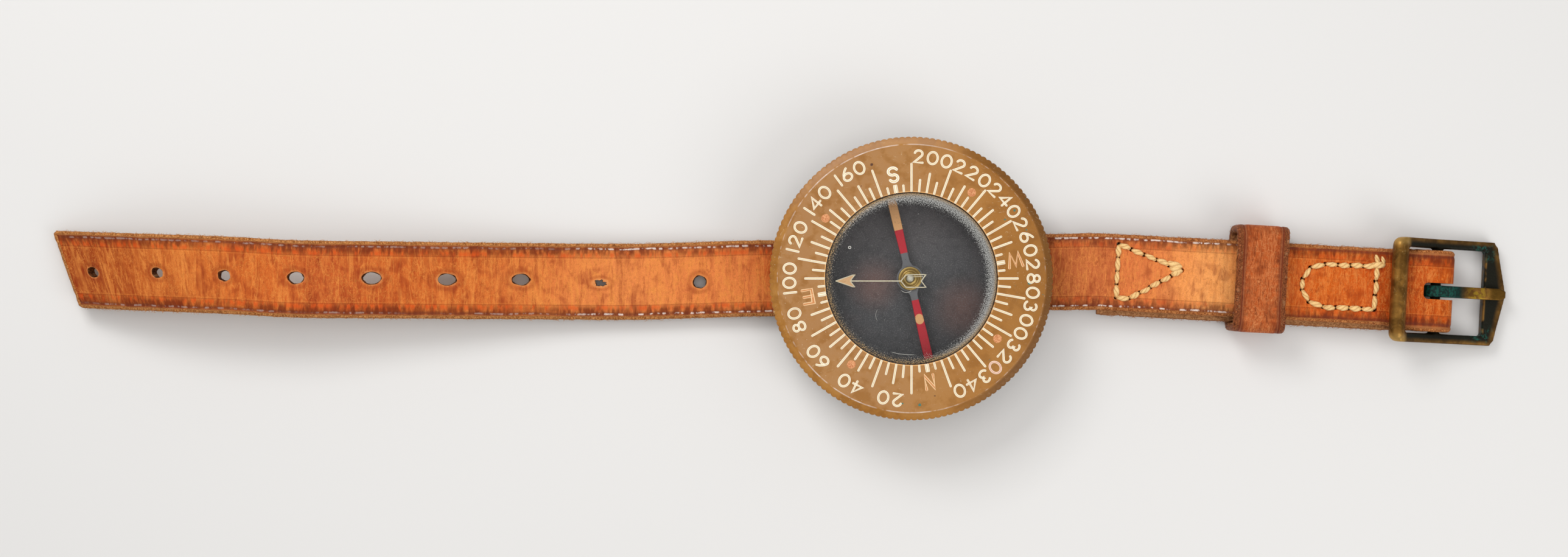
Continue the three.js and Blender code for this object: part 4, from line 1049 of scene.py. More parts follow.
@dataclass(frozen=True)
class CapBrass(Finish):
    """Turned brass of the hub's cap, with rings left by the lathe and a dark groove."""

    name: str = "cap_brass_turned"

    def paint(self, g: Graph) -> Socket:
        """The shader."""
        at = g.place()
        x, y, _ = g.parts(at)
        out = g.far(x, y)
        rings = g.noise(g.stretched(g.add("ShaderNodeCombineXYZ", None, {0: out}).outputs[0], 1, 0, 0), 0.12,
            3)
        stain = g.noise(at, 0.9, 3, 0.6)
        g.lay(rings.step(0.35, 0.65), shade(226, 196, 122), shade(178, 140, 66))
        g.lay(stain.step(0.5, 0.75) * 0.5, shade(120, 84, 34))
        g.lay(out.hump(1.78, 0.3) * 0.7, shade(104, 74, 30))
        return g.surface(0.34 + stain * 0.2, g.bump(rings, 0.03, 0.7), Metallic=0.75)


@dataclass(frozen=True)
class Jewel(Finish):
    """Glassy bearing jewel seen in its setting."""

    name: str = "jewel_glassy"

    def paint(self, g: Graph) -> Socket:
        """The shader."""
        at = g.place()
        x, y, _ = g.parts(at)
        out = g.far(x, y)
        g.lay(out.step(0.2, 0.75), shade(150, 142, 124), shade(226, 222, 206))
        g.lay(g.noise(at, 0.3).step(0.5, 0.7) * 0.5, shade(190, 178, 148))
        return g.surface(0.12, Coat_Weight=1, Coat_Roughness=0.05)


class Patina(Enum):
    """Which piece of buckle hardware an aged brass is for."""

    FRAME = 1
    PRONG = 2


@dataclass(frozen=True)
class AgedBrass(Finish):
    """Old brass: gold-brown where it is handled, green-black in hollows, with verdigris in the corners."""

    name: str
    patina: Patina
    origin: Flat
    turn: float
    gold: Colour = shade(172, 124, 58)
    brown: Colour = shade(100, 68, 28)
    black: Colour = shade(26, 25, 16)
    verdigris: Colour = shade(32, 112, 96)

    def paint(self, g: Graph) -> Socket:
        """The shader, which knows how far along the strap a point is."""
        at = g.place()
        x, y, _ = g.parts(at)
        cos, sin = math.cos(self.turn), math.sin(self.turn)
        along = (x - self.origin[0]) * cos + (y - self.origin[1]) * sin
        across = (y - self.origin[1]) * cos - (x - self.origin[0]) * sin
        clouds = g.noise(at, 2.6, 3, 0.5)
        fine = g.noise(at, 0.45, 3, 0.3)
        marks = g.scratches(g.stretched(at, 1, 0.5, 1), 1.3, 0.012, 0.9)
        g.lay(clouds.step(0.32, 0.8), self.gold, self.brown)
        if self.patina is Patina.FRAME:
            bar = along.step(100.3, 99.2)
            tip = along + abs(across) * 0.21
            outer = abs(across).step(9.3, 10.3).larger(tip.step(119.9, 121.1)) * (1 - bar)
            dark = (1 - bar) * (1 - outer * 0.6)
            g.lay(dark, self.black)
            inner = along.hump(117, 0.35) * abs(across).step(8.3, 7.6) * clouds.step(0.4, 0.6)
            g.lay(inner * 0.6, self.gold)
            corners = (1 - bar) * (abs(across).step(5.5, 8.4) * along.step(112.5, 116)) * (1 - outer)
            green = corners * fine.step(0.42, 0.62) * g.noise(at, 1.1).step(0.42, 0.6)
            ends = bar * abs(across).step(8.4, 9.9)
            g.lay(ends * 0.55, shade(210, 170, 98))
            g.lay(marks * bar * 0.35, shade(232, 200, 140))
            metallic = 0.85 - dark * 0.5 - green * 0.35
        else:
            g.lay(along.step(113.5, 111), shade(20, 44, 40))
            patches = g.noise(at, 0.9, 1).step(0.46, 0.56) * along.hump(115.2, 3.2)
            g.lay(patches * 0.7, shade(172, 140, 42))
            g.lay(along.step(117.2, 118.4) * 0.85, shade(92, 66, 20))
            green = along.step(112, 109) * fine.step(0.44, 0.6)
            metallic = 0.8 - along.step(112, 109) * 0.55
        g.lay(green * 0.45, self.verdigris)
        g.lay(fine.step(0.6, 0.75) * 0.3, self.black)
        rough = 0.34 + clouds * 0.2 + green * 0.3
        return g.surface(rough, g.bump(fine * 0.7 + clouds * 0.5 - marks * 0.4, 0.07, 0.8), Metallic=metallic,
            shine=0.2)


@dataclass(frozen=True)
class ArrowPaint(Finish):
    """Painted line or fill of the index arrow, slightly chipped."""

    name: str
    colour: Colour
    chip: Colour

    def paint(self, g: Graph) -> Socket:
        """The shader."""
        at = g.place()
        grain = g.noise(at, 0.35, 3)
        g.lay(grain.step(0.52, 0.7) * 0.5, self.chip, self.colour)
        return g.surface(0.55, g.bump(grain, 0.03, 0.6))


@dataclass(frozen=True)
class TableTop(Finish):
    """Pale plain floor under the object, which keeps its shadow."""

    name: str = "pale_floor"
    colour: Colour = (0.8, 0.79, 0.775)

    def paint(self, g: Graph) -> Socket:
        """The shader."""
        g.lay(g.noise(g.place(), 160, 1), tuple(share * 0.985 for share in self.colour), self.colour)
        return g.surface(0.75, shine=0.2)


def mounted(piece: Piece, body: str, slot: str, *nodes: str) -> Piece:
    """Sets a piece on its body, in place of the CAD nodes that it covers.

    Args:
        piece: The piece.
        body: Body that it rides on.
        slot: Its slot; not used.
        nodes: CAD nodes that it replaces, if any.

    Returns:
        The piece.
    """
    if nodes:
        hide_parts(*nodes)
    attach(piece, body)
    return piece


@dataclass
class Studio:
    """Floor, soft lamps, world and the camera that stands where the photographer's stood."""

    camera_place: Point = (-25.1, 0, 480)
    lens: float = 54
    sensor: float = 36
    floor_reach: float = 900
    world_level: float = 0.42
    world_tint: Colour = (1, 0.99, 0.98)
    near_limit: float = 0.01

    def lamp(self, name: str, place: Point, size: float, power: float, mirrored: bool = True) -> None:
        """Adds a square soft lamp aimed at the dial.

        Args:
            name: Name of the lamp.
            place: Its place in millimetres.
            size: Its side in millimetres.
            power: Its power in watts.
            mirrored: Whether glossy surfaces show it.
        """
        light = bpy.data.lights.new(name, "AREA")
        light.shape = "SQUARE"
        light.size = size * MM
        light.energy = power
        lamp = bpy.data.objects.new(name, light)
        lamp.location = Vector(place) * MM
        lamp.visible_glossy = mirrored
        lamp.rotation_euler = (-lamp.location).to_track_quat("-Z", "Y").to_euler()
        bpy.context.scene.collection.objects.link(lamp)

    def build(self) -> None:
        """Makes the floor, the lamps, the world and the camera."""
        scene = bpy.context.scene
        scene.view_settings.view_transform = "Standard"
        ends = (-self.floor_reach, self.floor_reach)
        shape = Shape()
        shape.grid([[(x, y, 0) for y in ends] for x in ends])
        shape.build("table_top", TableTop().make())
        self.lamp("key_lamp", (-220, 320, 430), 240, 1.3)
        self.lamp("top_lamp", (-20, 40, 620), 420, 1.05, mirrored=False)
        self.lamp("fill_lamp", (270, -230, 350), 280, 0.6)
        world = bpy.data.worlds.new("soft_room")
        world.use_nodes = True
        inputs = world.node_tree.nodes["Background"].inputs
        inputs["Color"].default_value = (*self.world_tint, 1)
        inputs["Strength"].default_value = self.world_level
        scene.world = world
        data = bpy.data.cameras.new("photo_camera")
        data.sensor_width = self.sensor
        data.sensor_fit = "HORIZONTAL"
        data.lens = self.lens
        data.clip_start = self.near_limit
        camera = bpy.data.objects.new("photo_camera", data)
        camera.location = Vector(self.camera_place) * MM
        scene.collection.objects.link(camera)
        scene.camera = camera


@dataclass
class Glyphs:
    """Engraved figures and letters as strokes, on a grid where one unit is a millimetre."""

    wide: float = 0.98
    tall: float = 1.19

    def strokes(self, sign: str) -> list[list[Flat]]:
        """The strokes of a figure or letter about its own centre.

        Args:
            sign: The figure or letter.

        Returns:
            Its strokes.
        """
        w, h = self.wide, self.tall
        return {
            "0": [arc((0, 0), (w, h), 90, 450, 30)],
            "1": [[(0, -h), (0, h)]],
            "2": [arc((0, h - 0.65), (0.76, 0.65), 168, -38, 14) + [(-0.82, -h), (0.86, -h)]],
            "3": [arc((-0.05, h - 0.57), (0.66, 0.57), 150, -80, 12)
            + arc((-0.08, -h + 0.67), (0.82, 0.67), 82, -150, 14)],
            "4": [[(0.42, -h), (0.42, h), (-0.95, -0.5), (1, -0.5)]],
            "6": [
                arc((0, -h + 0.7), (0.84, 0.7), 90, 450, 24),
                [(0.5, h), (0.02, h - 0.32), (-0.46, h - 0.84), (-0.74, h - 1.34), (-0.84, -0.42)],
            ],
            "8": [arc((0, h - 0.56), (0.64, 0.56), 90, 450, 22),
            arc((0, -h + 0.64), (0.82, 0.64), 90, 450, 24)],
            "N": [[(-0.85, -1.35), (-0.85, 1.35), (0.85, -1.35), (0.85, 1.35)]],
            "E": [[(0.95, 1.35), (-0.9, 1.35), (-0.9, -1.35), (0.95, -1.35)], [(-0.9, 0), (0.8, 0)]],
            "S": [arc((0, 0.66), (0.82, 0.7), 25, 255, 14) + arc((0, -0.68), (0.9, 0.72), 80, -155, 14)],
            "W": [[(-1.35, 1.3), (-0.78, -1.35), (0, 1.1), (0.78, -1.35), (1.35, 1.3)]],
        }[sign]


@dataclass
class Bezel:
    """Turning bezel: toothed rim, bevel, engraved scale, figures, letters and luminous dots."""

    tip: float = 28
    tooth: float = 0.27
    teeth: int = 144
    face: float = 26.4
    opening: float = 17
    bore: float = 23.9
    low: float = 10.8
    web_low: float = 15.8
    bevel_low: float = 16.2
    top: float = 17
    groove_low: float = 12
    groove_high: float = 12.9
    groove_reach: float = 24.4
    facets_per_tooth: int = 8
    line_half: float = 0.235
    north: float = -80
    figure_orbit: float = 24.06
    figure_pitch: float = 1.41
    slim_pitch: float = 0.55
    letter_orbit: float = 20.7
    dot_orbit: float = 20.65
    dot_radius: float = 0.84
    dotted: tuple[int, ...] = (45, 135, 225, 315)

    def angle(self, bearing: float) -> float:
        """The direction of a bearing, in radians."""
        return math.radians(self.north - bearing)

    def set_upright(self, stroke: Sequence[Flat], middle: Flat, turn: float) -> list[Flat]:
        """Places a stroke about a middle, with its top towards a direction in radians."""
        cos, sin = math.cos(turn - math.pi / 2), math.sin(turn - math.pi / 2)
        return [(middle[0] + (x * cos - y * sin), middle[1] + (x * sin + y * cos)) for x, y in stroke]

    def body(self) -> Piece:
        """Returns the toothed ring."""
        outline = [
            (self.bore, self.low + 0.15), (self.bore + 0.15, self.low),
            (self.tip - 0.6, self.low), (self.tip - 0.3, self.low + 0.12), (self.tip, self.low + 0.45),
            (self.tip, self.bevel_low - 0.25), (self.tip - 0.03, self.bevel_low - 0.08),
            (self.tip - 0.1, self.bevel_low + 0.01), (self.tip - 0.42, self.bevel_low + 0.14),
            (self.face + 0.5, self.top - 0.34), (self.face + 0.1, self.top - 0.05), (self.face, self.top),
            (self.face - 0.3, self.top), (self.opening + 0.5, self.top),
            (self.opening + 0.14, self.top), (self.opening + 0.03, self.top - 0.05),
            (self.opening, self.top - 0.16),
            (self.opening, self.web_low + 0.1), (self.opening + 0.1, self.web_low), (self.bore, self.web_low),
            (self.bore, self.groove_high), (self.groove_reach, self.groove_high),
            (self.groove_reach, self.groove_low), (self.bore, self.groove_low),
        ]
        share = {3: 0.6, 4: 1, 5: 1, 6: 1, 7: 1}

        def swell(k: int, angle: float) -> float:
            """The hollow between teeth, at a profile point and an angle."""
            phase = (angle * self.teeth / math.tau) % 1
            hollow = (1 - abs(math.sin(math.pi * phase))) ** 1.4
            worn = 0.85 + 0.15 * ripple(math.cos(angle) * 3, math.sin(angle) * 3, 4)
            return -self.tooth * share.get(k, 0) * hollow * min(worn, 1)

        ring = Shape().lathe(outline, self.teeth * self.facets_per_tooth, swell)
        return ring.build("bezel_ring", DialPlastic().make(), sharp=50)

    def mark_length(self, bearing: int) -> float:
        """How long the mark at a bearing is."""
        from_point = abs(((bearing + 45) % 90) - 45)
        if bearing in self.dotted:
            return self.dot_orbit - self.opening - self.dot_radius - 0.2
        if from_point <= 5:
            return 1.75 if from_point == 0 else 1.6
        if bearing % 20 == 10:
            return 5.8
        return 4.15 if bearing % 20 == 0 else 2.7

    def scale(self) -> Piece:
        """Returns all marks, figures and letters as one inlaid piece."""
        shape = Shape()
        glyphs = Glyphs()
        for bearing in range(0, 360, 5):
            cos, sin = on_circle(1, self.angle(bearing))
            ends = (self.opening + 0.25, self.opening + self.mark_length(bearing) - self.line_half)
            for offset in (-0.2, 0.2) if bearing % 90 == 0 else (0,):
                line = [(cos * r + -sin * offset, sin * r + cos * offset) for r in ends]
                shape.stroke(line, self.line_half, self.top)
        for bearing in (*range(20, 180, 20), *range(200, 360, 20)):
            text = str(bearing)
            pitches = [self.slim_pitch if sign == "1" else self.figure_pitch for sign in text]
            for i, sign in enumerate(text):
                place = sum(pitches[:i]) * 2 + pitches[i] - sum(pitches)
                angle = self.angle(bearing) - place / self.figure_orbit
                middle = on_circle(self.figure_orbit, angle)
                paint = 2 if (text, i) == ("320", 2) else 0
                for stroke in glyphs.strokes(sign):
                    shape.stroke(self.set_upright(stroke, middle, angle), self.line_half, self.top,
                        paint=paint)
        for bearing, sign in ((0, "N"), (90, "E"), (180, "S"), (270, "W")):
            middle = on_circle(self.letter_orbit, self.angle(bearing))
            for stroke in glyphs.strokes(sign):
                placed = self.set_upright(stroke, middle, self.angle(0))
                shape.stroke(placed, self.line_half * 1.3, self.top, paint=0 if sign == "S" else 1)
        half = self.line_half
        cream = GroovePaint("scale_paint_cream", shade(255, 250, 234), shade(230, 208, 162), half, 0.16)
        copper = GroovePaint("scale_paint_copper", shade(250, 212, 164), shade(206, 136, 80), half * 1.3,
            0.35)
        pinkish = GroovePaint("scale_paint_pinkish", shade(250, 230, 214), shade(222, 168, 140), half, 0.3)
        return shape.build("bezel_scale", cream.make(), copper.make(), pinkish.make(), sharp=75)

    def dot(self, bearing: int, finish: Material) -> Piece:
        """Makes a domed luminous dot.

        Args:
            bearing: Its bearing in degrees.
            finish: Its material.

        Returns:
            The piece.
        """
        turn, r, top = self.angle(bearing), self.dot_radius, self.top
        outline = [(0, top - 0.4), (r, top - 0.4), (r, top + 0.01), (r * 0.8, top + 0.05), (0, top + 0.09)]

        def swell(k: int, angle: float) -> float:
            """The dot's unevenness at a profile point and an angle."""
            return 0.05 * ripple(math.cos(angle) * 2, math.sin(angle) * 2, turn) if k > 0 else 0

        shape = Shape().lathe(outline, 28, swell, on_circle(self.dot_orbit, turn))
        piece = shape.build(f"lume_spot_{bearing:03d}", finish, sharp=60)
        return mounted(piece, "bezel", "lume", f"lume_dot_{bearing:03d}")

    def build(self) -> list[Piece]:
        """Makes the bezel and sets it on its body.

        Returns:
            The pieces.
        """
        made = [mounted(self.body(), "bezel", "bezel_plastic", "bezel")]
        finish = LumePaint().make()
        dots = [self.dot(bearing, finish) for bearing in self.dotted]
        return made + [mounted(self.scale(), "bezel", "arrow_paint"), *dots]


@dataclass
class CaseShell:
    """Case body with the strap's tunnel, and the flat cover that closes it."""

    foot: float = 22.8
    skirt: float = 26.2
    skirt_low: float = 9.4
    skirt_high: float = 10.4
    tunnel_top: float = 4.4
    wall: float = 23.5
    wall_top: float = 14.9
    inner: float = 22
    floor_top: float = 5.9
    tunnel_half: float = 9.2
    cover_radius: float = 22.4
    cover: float = 1.8
    chamfer: float = 0.5
    screw_orbit: float = 17
    steps: int = 160

    def screw_cutter(self) -> Piece:
        """Returns the four countersunk holes as one shape."""
        shape = Shape()
        for k in range(4):
            middle = on_circle(self.screw_orbit, math.radians(45 + 90 * k))
            outline = [(0, -1), (1.78, -1), (1.78, 0.08), (0.92, 1), (0.92, 4.95), (0, 4.95)]
            shape.lathe(outline, 28, middle=middle)
        return shape.build("screw_cutter")

    def build(self) -> list[Piece]:
        """Makes the case and its cover.

        Returns:
            The pieces.
        """
        low = self.cover
        groove = 0.9
        outline = [
            (0, low), (self.foot - 0.2, low), (self.foot, low + 0.2), (self.foot + 0.1, self.tunnel_top),
            (self.foot + 0.35, self.tunnel_top + 0.9), (self.skirt - 0.25, self.skirt_low - 0.35),
            (self.skirt, self.skirt_low), (self.skirt, self.skirt_high - 0.15),
            (self.skirt - 0.15, self.skirt_high),
            (self.wall, self.skirt_high), (self.wall, 12), (self.wall - groove, 12),
            (self.wall - groove, 12.9), (self.wall, 12.9), (self.wall, self.wall_top),
            (self.inner, self.wall_top),
            (self.inner, self.floor_top), (0, self.floor_top),
        ]
        plastic = MouldedPlastic("case_plastic_brown", shade(92, 66, 40), shade(66, 46, 28), 0.42).make()
        case = Shape().lathe(outline, self.steps).build("case_shell", plastic)
        tunnel = Shape()
        reach, half, top = self.skirt + 2, self.tunnel_half, self.tunnel_top
        section = [(-half, 0), (half, 0), (half, top - 0.5), (half - 0.5, top), (0.5 - half, top),
            (-half, top - 0.5)]
        rows = [[(x, y, z) for y, z in section] for x in (-reach, reach)]
        tunnel.grid(rows, closed=True, ends=(0, None))
        Mesher.cut(case, tunnel.build("tunnel_cutter"))
        Mesher.cut(case, self.screw_cutter())
        back = [
            (0, 0), (9.6, 0), (9.75, 0.18), (10.25, 0.18), (10.4, 0),
            (self.cover_radius - self.chamfer - 0.1, 0), (self.cover_radius - self.chamfer + 0.1, 0.08),
            (self.cover_radius - 0.05, self.chamfer - 0.1), (self.cover_radius, self.chamfer + 0.1),
            (self.cover_radius, self.cover), (0, self.cover),
        ]
        cover_finish = MouldedPlastic("cover_plastic_brown", shade(150, 104, 56), shade(120, 80, 42),
            0.38).make()
        cover = Shape().lathe(back, self.steps).build("cover_plate", cover_finish)
        Mesher.cut(cover, self.screw_cutter())
        cover = mounted(cover, "case", "bezel_plastic", "back_cover")
        return [mounted(case, "case", "case_plastic", "case_body"), cover]


@dataclass
class Capsule:
    """Sealed capsule: bowl, domed crystal and the index arrow painted under the dome."""

    neck: float = 16.82
    neck_top: float = 17.25
    dome_top: float = 19
    dome_radius: float = 81.9
    wall: float = 1.6
    inner: float = 15.3
    flange: float = 20.8
    flange_low: float = 14
    flange_high: float = 14.7
    arrow_y: float = -0.5
    floor: float = 7.4
    floor_reach: float = 17

    def dome(self, r: float, drop: float = 0) -> float:
        """The dome's height at a radius, less a drop square to it."""
        radius = self.dome_radius - drop
        return self.dome_top - drop - radius + math.sqrt(radius * radius - r * r)

    def crystal(self) -> Piece:
        """Returns the clear dome with its flange."""
        outer = [(r, self.dome(r)) for r in (0, 2, 4, 6, 8, 10, 12, 13.5, 14.8, 15.8)]
        edge = [(16.4, self.dome(16.4) - 0.02), (16.66, self.neck_top - 0.08), (16.78, self.neck_top - 0.25),
            (self.neck, self.neck_top - 0.6)]
        outer += edge
        outer += [(self.neck, self.flange_high), (self.flange, self.flange_high),
            (self.flange, self.flange_low)]
        outer += [(self.inner, self.flange_low), (self.inner, self.dome(self.inner, self.wall) - 0.03)]
        outer += [(r, self.dome(r, self.wall)) for r in (15.26, 15.1, 14.6, 13, 10.5, 8, 5.5, 3, 0)]
        return Shape().lathe(outer, 144).build("crystal_dome", ClearCrystal().make(), sharp=30)

    def lining(self) -> Piece:
        """Returns the black coat on the bowl's floor, which hides the end of the filler plug."""
        low, high, reach = self.floor - 0.02, self.floor + 0.05, self.floor_reach
        coat = Shape().lathe([(2, low), (reach, low), (reach, high), (2, high)], 96)
        return coat.build("bowl_lining", BowlPlastic().make())

    def under(self, x: float, y: float) -> float:
        """The height at which paint lies under the dome."""
        return self.dome(math.hypot(x, y), self.wall) - 0.13

    def arrow(self) -> Piece:
        """Returns the painted arrow: a filled head, a thin shaft and an outlined fletch."""
        y = self.arrow_y
        shape = Shape()
        tip, notch = (-14.9, y), (-12.05, y)
        barbs = [(-11.05, y + 1.36), (-11.05, y - 1.3)]
        for barb in barbs:
            corners = [tip, notch, barb]
            shape.plate([(a, b, self.under(a, b) - 0.005) for a, b in corners], 0.05, 1)
        head = [tip, barbs[0], notch, barbs[1], tip]
        shape.stroke(spaced(head, 0.6) + [tip], 0.1, lambda a, b: self.under(a, b) + 0.01, 0.03)
        shape.stroke([(-12, y), (-9, y), (-6, y), (-4, y), (-2.1, y)], 0.12, self.under, 0.03)
        fletch = [(-2.1, y), (-1.1, y + 1.2), (2.85, y + 1.3), (1.9, y), (2.85, y - 1.25), (-1.1, y - 1.25),
            (-2.1, y)]
        shape.stroke(spaced(fletch, 0.5) + [fletch[0]], 0.11, self.under, 0.03)
        shape.stroke([(-0.75, y + 0.8), (1, y + 0.85), (2.2, y + 0.9)], 0.07, self.under, 0.02)
        line = ArrowPaint("arrow_line_paint", shade(244, 232, 204), shade(210, 186, 140)).make()
        fill = ArrowPaint("arrow_fill_paint", shade(240, 190, 138), shade(216, 158, 104)).make()
        return shape.build("arrow_marking", line, fill, sharp=75)

    def build(self) -> list[Piece]:
        """Makes the capsule.

        Returns:
            The pieces.
        """
        made = [mounted(self.crystal(), "case", "crystal", "crystal")]
        made.append(mounted(self.arrow(), "case", "arrow_paint", "index_arrow"))
        return made + [mounted(self.lining(), "case", "bowl_plastic")]


@dataclass
class Needle:
    """Painted needle with its turned brass cap and the jewel in it."""

    low: float = 10.95
    high: float = 11.45
    tan_end: float = 16.1
    red_end: float = 16.4
    hub: float = 2.65
    neck_half: float = 0.72
    end_half: float = 0.9
    angle: float = 283.2

    def half(self, along: float) -> float:
        """Half of the blade's width at a distance along it."""
        out = abs(along)
        blade = self.neck_half + (self.end_half - self.neck_half) * ease(out, 3, 12)
        disc = math.sqrt(max(self.hub**2 - along**2, 0))
        fillet = 0.35 * ease(out, self.hub + 0.9, self.hub - 0.2)
        return max(blade + fillet, disc)

    def blade(self) -> Piece:
        """Returns the painted blade."""
        turn = math.radians(self.angle)
        cos, sin = math.cos(turn), math.sin(turn)
        stops = [-self.tan_end, -self.tan_end + 0.06, -self.tan_end + 0.2]
        stops += [self.hub * math.sin(math.radians(a)) for a in range(-75, 76, 10)]
        stops += [x * s for s in (-1, 1) for x in (2.9, 3.3, 3.8, 4.5, 5.6, 7, 9, 11, 13, 15)]
        stops += [self.red_end - 0.2, self.red_end - 0.06, self.red_end]
        rows, alongs = [], sorted(stops)
        mid = (self.low + self.high) / 2
        for along in alongs:
            end = min(along + self.tan_end, self.red_end - along)
            half = self.half(along) - 0.16 * (1 - min(end / 0.2, 1)) ** 2
            section = [(-1, mid), (-1, self.high - 0.08), (-0.93, self.high), (0, self.high),
                (0.93, self.high)]
            section += [(1, self.high - 0.08), (1, mid), (1, self.low + 0.08), (0.93, self.low),
                (-0.93, self.low), (-1, self.low + 0.08)]
            row = [(along * cos - a * half * sin, along * sin + a * half * cos, z) for a, z in section]
            rows.append(row)
        across = [-1, -1, -0.93, 0, 0.93, 1, 1, 1, 0.93, -0.93, -1, -1]
        shape = Shape()
        shape.grid(rows, lambda a, b: (alongs[a], across[b] * self.half(alongs[a])), True,
            ends=(0, (15.9, 0)))
        return shape.build("needle_blade", NeedlePaint().make(), sharp=50)

    def cap(self) -> Piece:
        """Returns the turned cap."""
        outline = [
            (0.82, 11.5), (2.3, 11.5), (2.35, 11.6), (2.35, 11.86), (2.28, 11.96), (2.14, 12), (2, 11.97),
            (1.92, 11.86), (1.72, 11.84), (1.5, 11.9), (1.42, 12.02), (1.38, 12.18), (1.26, 12.28),
            (1.1, 12.29), (0.95, 12.24), (0.82, 12.1),
        ]
        return Shape().lathe(outline, 64).build("hub_cap", CapBrass().make(), sharp=60)

    def jewel(self) -> Piece:
        """Returns the jewel."""
        outline = [(0, 10.6), (0.35, 10.6), (0.5, 11.5), (0.78, 11.6), (0.78, 12.05), (0.68, 12.18),
            (0.4, 12.26), (0, 12.29)]
        return Shape().lathe(outline, 40).build("bearing_jewel", Jewel().make(), sharp=60)

    def build(self) -> list[Piece]:
        """Makes the needle and sets it on its body.

        Returns:
            The pieces.
        """
        made = [mounted(self.blade(), "needle", "needle_paint", "needle")]
        made.append(mounted(self.cap(), "needle", "cap_brass", "needle_cap"))
        return made + [mounted(self.jewel(), "needle", "jewel", "needle_jewel")]


Placer = Callable[[float, float, float], Point]


@dataclass
class Band:
    """A strip of leather: creased near its edges, with raw, slightly uneven sides."""

    thickness: float = 2.1
    crease: float = 1.1
    groove: float = 0.14
    ragged: float = 0.1
    swell: float = 0.07
    seed: float = 1

    def section(self) -> list[tuple[float, float, int]]:
        """Half of the section from the top's middle to the bottom's middle: inset, height and finish."""
        t, c = self.thickness / 2, self.crease
        top = [(99, t), (5.4, t), (4, t), (2.9, t), (2.1, t), (c + 0.55, t - 0.01),
            (c + 0.24, t - self.groove * 0.5)]
        top += [(c, t - self.groove), (c - 0.24, t - self.groove * 0.45), (c - 0.42, t - 0.04)]
        side = [(0.5, t - 0.1), (0.26, t - 0.24), (0.08, t - 0.46), (0, t - 0.8), (0, 0), (0.02, 0.5 - t)]
        low = [(0.14, 0.2 - t), (0.4, -t), (2.2, -t), (4.6, -t), (99, -t)]
        return [(a, h, 0) for a, h in top] + [(a, h, 1) for a, h in side] + [(a, h, 2) for a, h in low]

    def weave(self, stations: Sequence[Flat], place: Placer, ring: bool = False, raw_end: float = 0) -> Shape:
        """Makes the strip.

        Args:
            stations: Distance along and half width of each section.
            place: Where a point along, across and above its middle goes.
            ring: Whether it closes on itself.
            raw_end: Length of the bevel at its far end.

        Returns:
            The shape, with finish 0 on the grain, 1 on the raw edges and 2 on the flesh.
        """
        half_section = self.section()
        ring_section = [(1, *spot) for spot in half_section[:-1]]
        ring_section += [(-1, *spot) for spot in reversed(half_section[1:])]
        rows, flats = [], []
        last = stations[-1][0]
        for along, half in stations:
            row, flat = [], []
            bevel = 0.3 * ease(along, last - raw_end * 0.5, last) ** 2 if raw_end else 0
            for side, inset, height, paint in ring_section:
                across = side * max(half - inset, 0.0)
                uneven = ripple(along * 0.35, side * 3, self.seed) * 0.5
                uneven += ripple(along * 1.4, side * 5 + height, self.seed) * 0.5
                uneven += ripple(along * 4.1, height * 3, self.seed + side) * 0.3
                fade = ease(inset, 0.9, 0.1)
                nudge = side * self.ragged * uneven * fade
                wave = ripple(along * 0.75, across * 0.12, self.seed + 3)
                wave += 0.5 * ripple(along * 1.7, across * 0.25, self.seed + 5)
                dip = self.swell * min(wave - 0.6, 0) * 0.6 if paint < 2 else 0
                ragged = 0.16 * ripple(across * 1.1, 0, self.seed + 8) if raw_end else 0
                ragged *= ease(along, last - 1.5, last)
                level = min(height, self.thickness / 2 - bevel)
                level += dip * ease(height, -0.4, self.thickness / 2)
                row.append(place(along + ragged, across + nudge, level))
                reach = half + (self.thickness / 2 - height)
                flat.append((along, across if paint == 0 else side * reach if paint == 1 else 60 + across))
            rows.append(row)
            flats.append(flat)
        count = len(ring_section)
        paints = [spot[3] for spot in ring_section]

        def layout(i: int, j: int) -> Flat:
            """Layout of a grid point, which runs on past a ring's join."""
            if i < len(flats):
                return flats[i][j % count]
            return (flats[-1][j % count][0] + 0.6, flats[0][j % count][1])

        def finish(i: int, j: int) -> int:
            """Finish of a face: raw where either side of it is raw, and at a raw end."""
            pair = (paints[j], paints[(j + 1) % count])
            raw = 1 in pair or (raw_end and stations[i][0] > last - raw_end * 0.8 and pair[0] == 0)
            return 1 if raw else pair[0]

        shape = Shape()
        shape.grid(rows, layout, True, ring, finish, None if ring else (1, (stations[0][0], 90)))
        return shape

    def fuzz(self, stations: Sequence[Flat], place: Placer, per_mm: float, longest: float = 0.75) -> Shape:
        """Makes loose fibres along both raw edges.

        Args:
            stations: Distance along and half width.
            place: Where a point of the strip goes.
            per_mm: Fibres to a millimetre of an edge.
            longest: Length of the longest.

        Returns:
            The fibres.
        """
        random = np.random.default_rng(int(self.seed * 100) + 7)
        shape = Shape()
        alongs = [station[0] for station in stations]
        halves = [station[1] for station in stations]
        count = int((alongs[-1] - alongs[0]) * per_mm)
        for side in (-1, 1):
            for _ in range(count):
                along = float(random.uniform(alongs[0] + 0.4, alongs[-1] - 0.4))
                half = float(np.interp(along, alongs, halves))
                height = float(random.uniform(-0.8, 0.75)) * self.thickness / 2
                length = 0.12 + (longest - 0.12) * float(random.random()) ** 3.2
                lean = float(random.normal(0, 0.9))
                rise = float(random.normal(0.1, 0.45))
                curl = float(random.normal(0, 0.5))
                path = []
                for k in range(4):
                    t = k / 3
                    out = half - 0.22 + 0.14 + length * (0.8 * t - 0.15 * t * t)
                    place_along = along + lean * length * t + curl * length * t * t
                    path.append(place(place_along, side * out, height + rise * length * t))
                shape.tube(path, [0.045, 0.04, 0.028, 0.01], 3)
        return shape


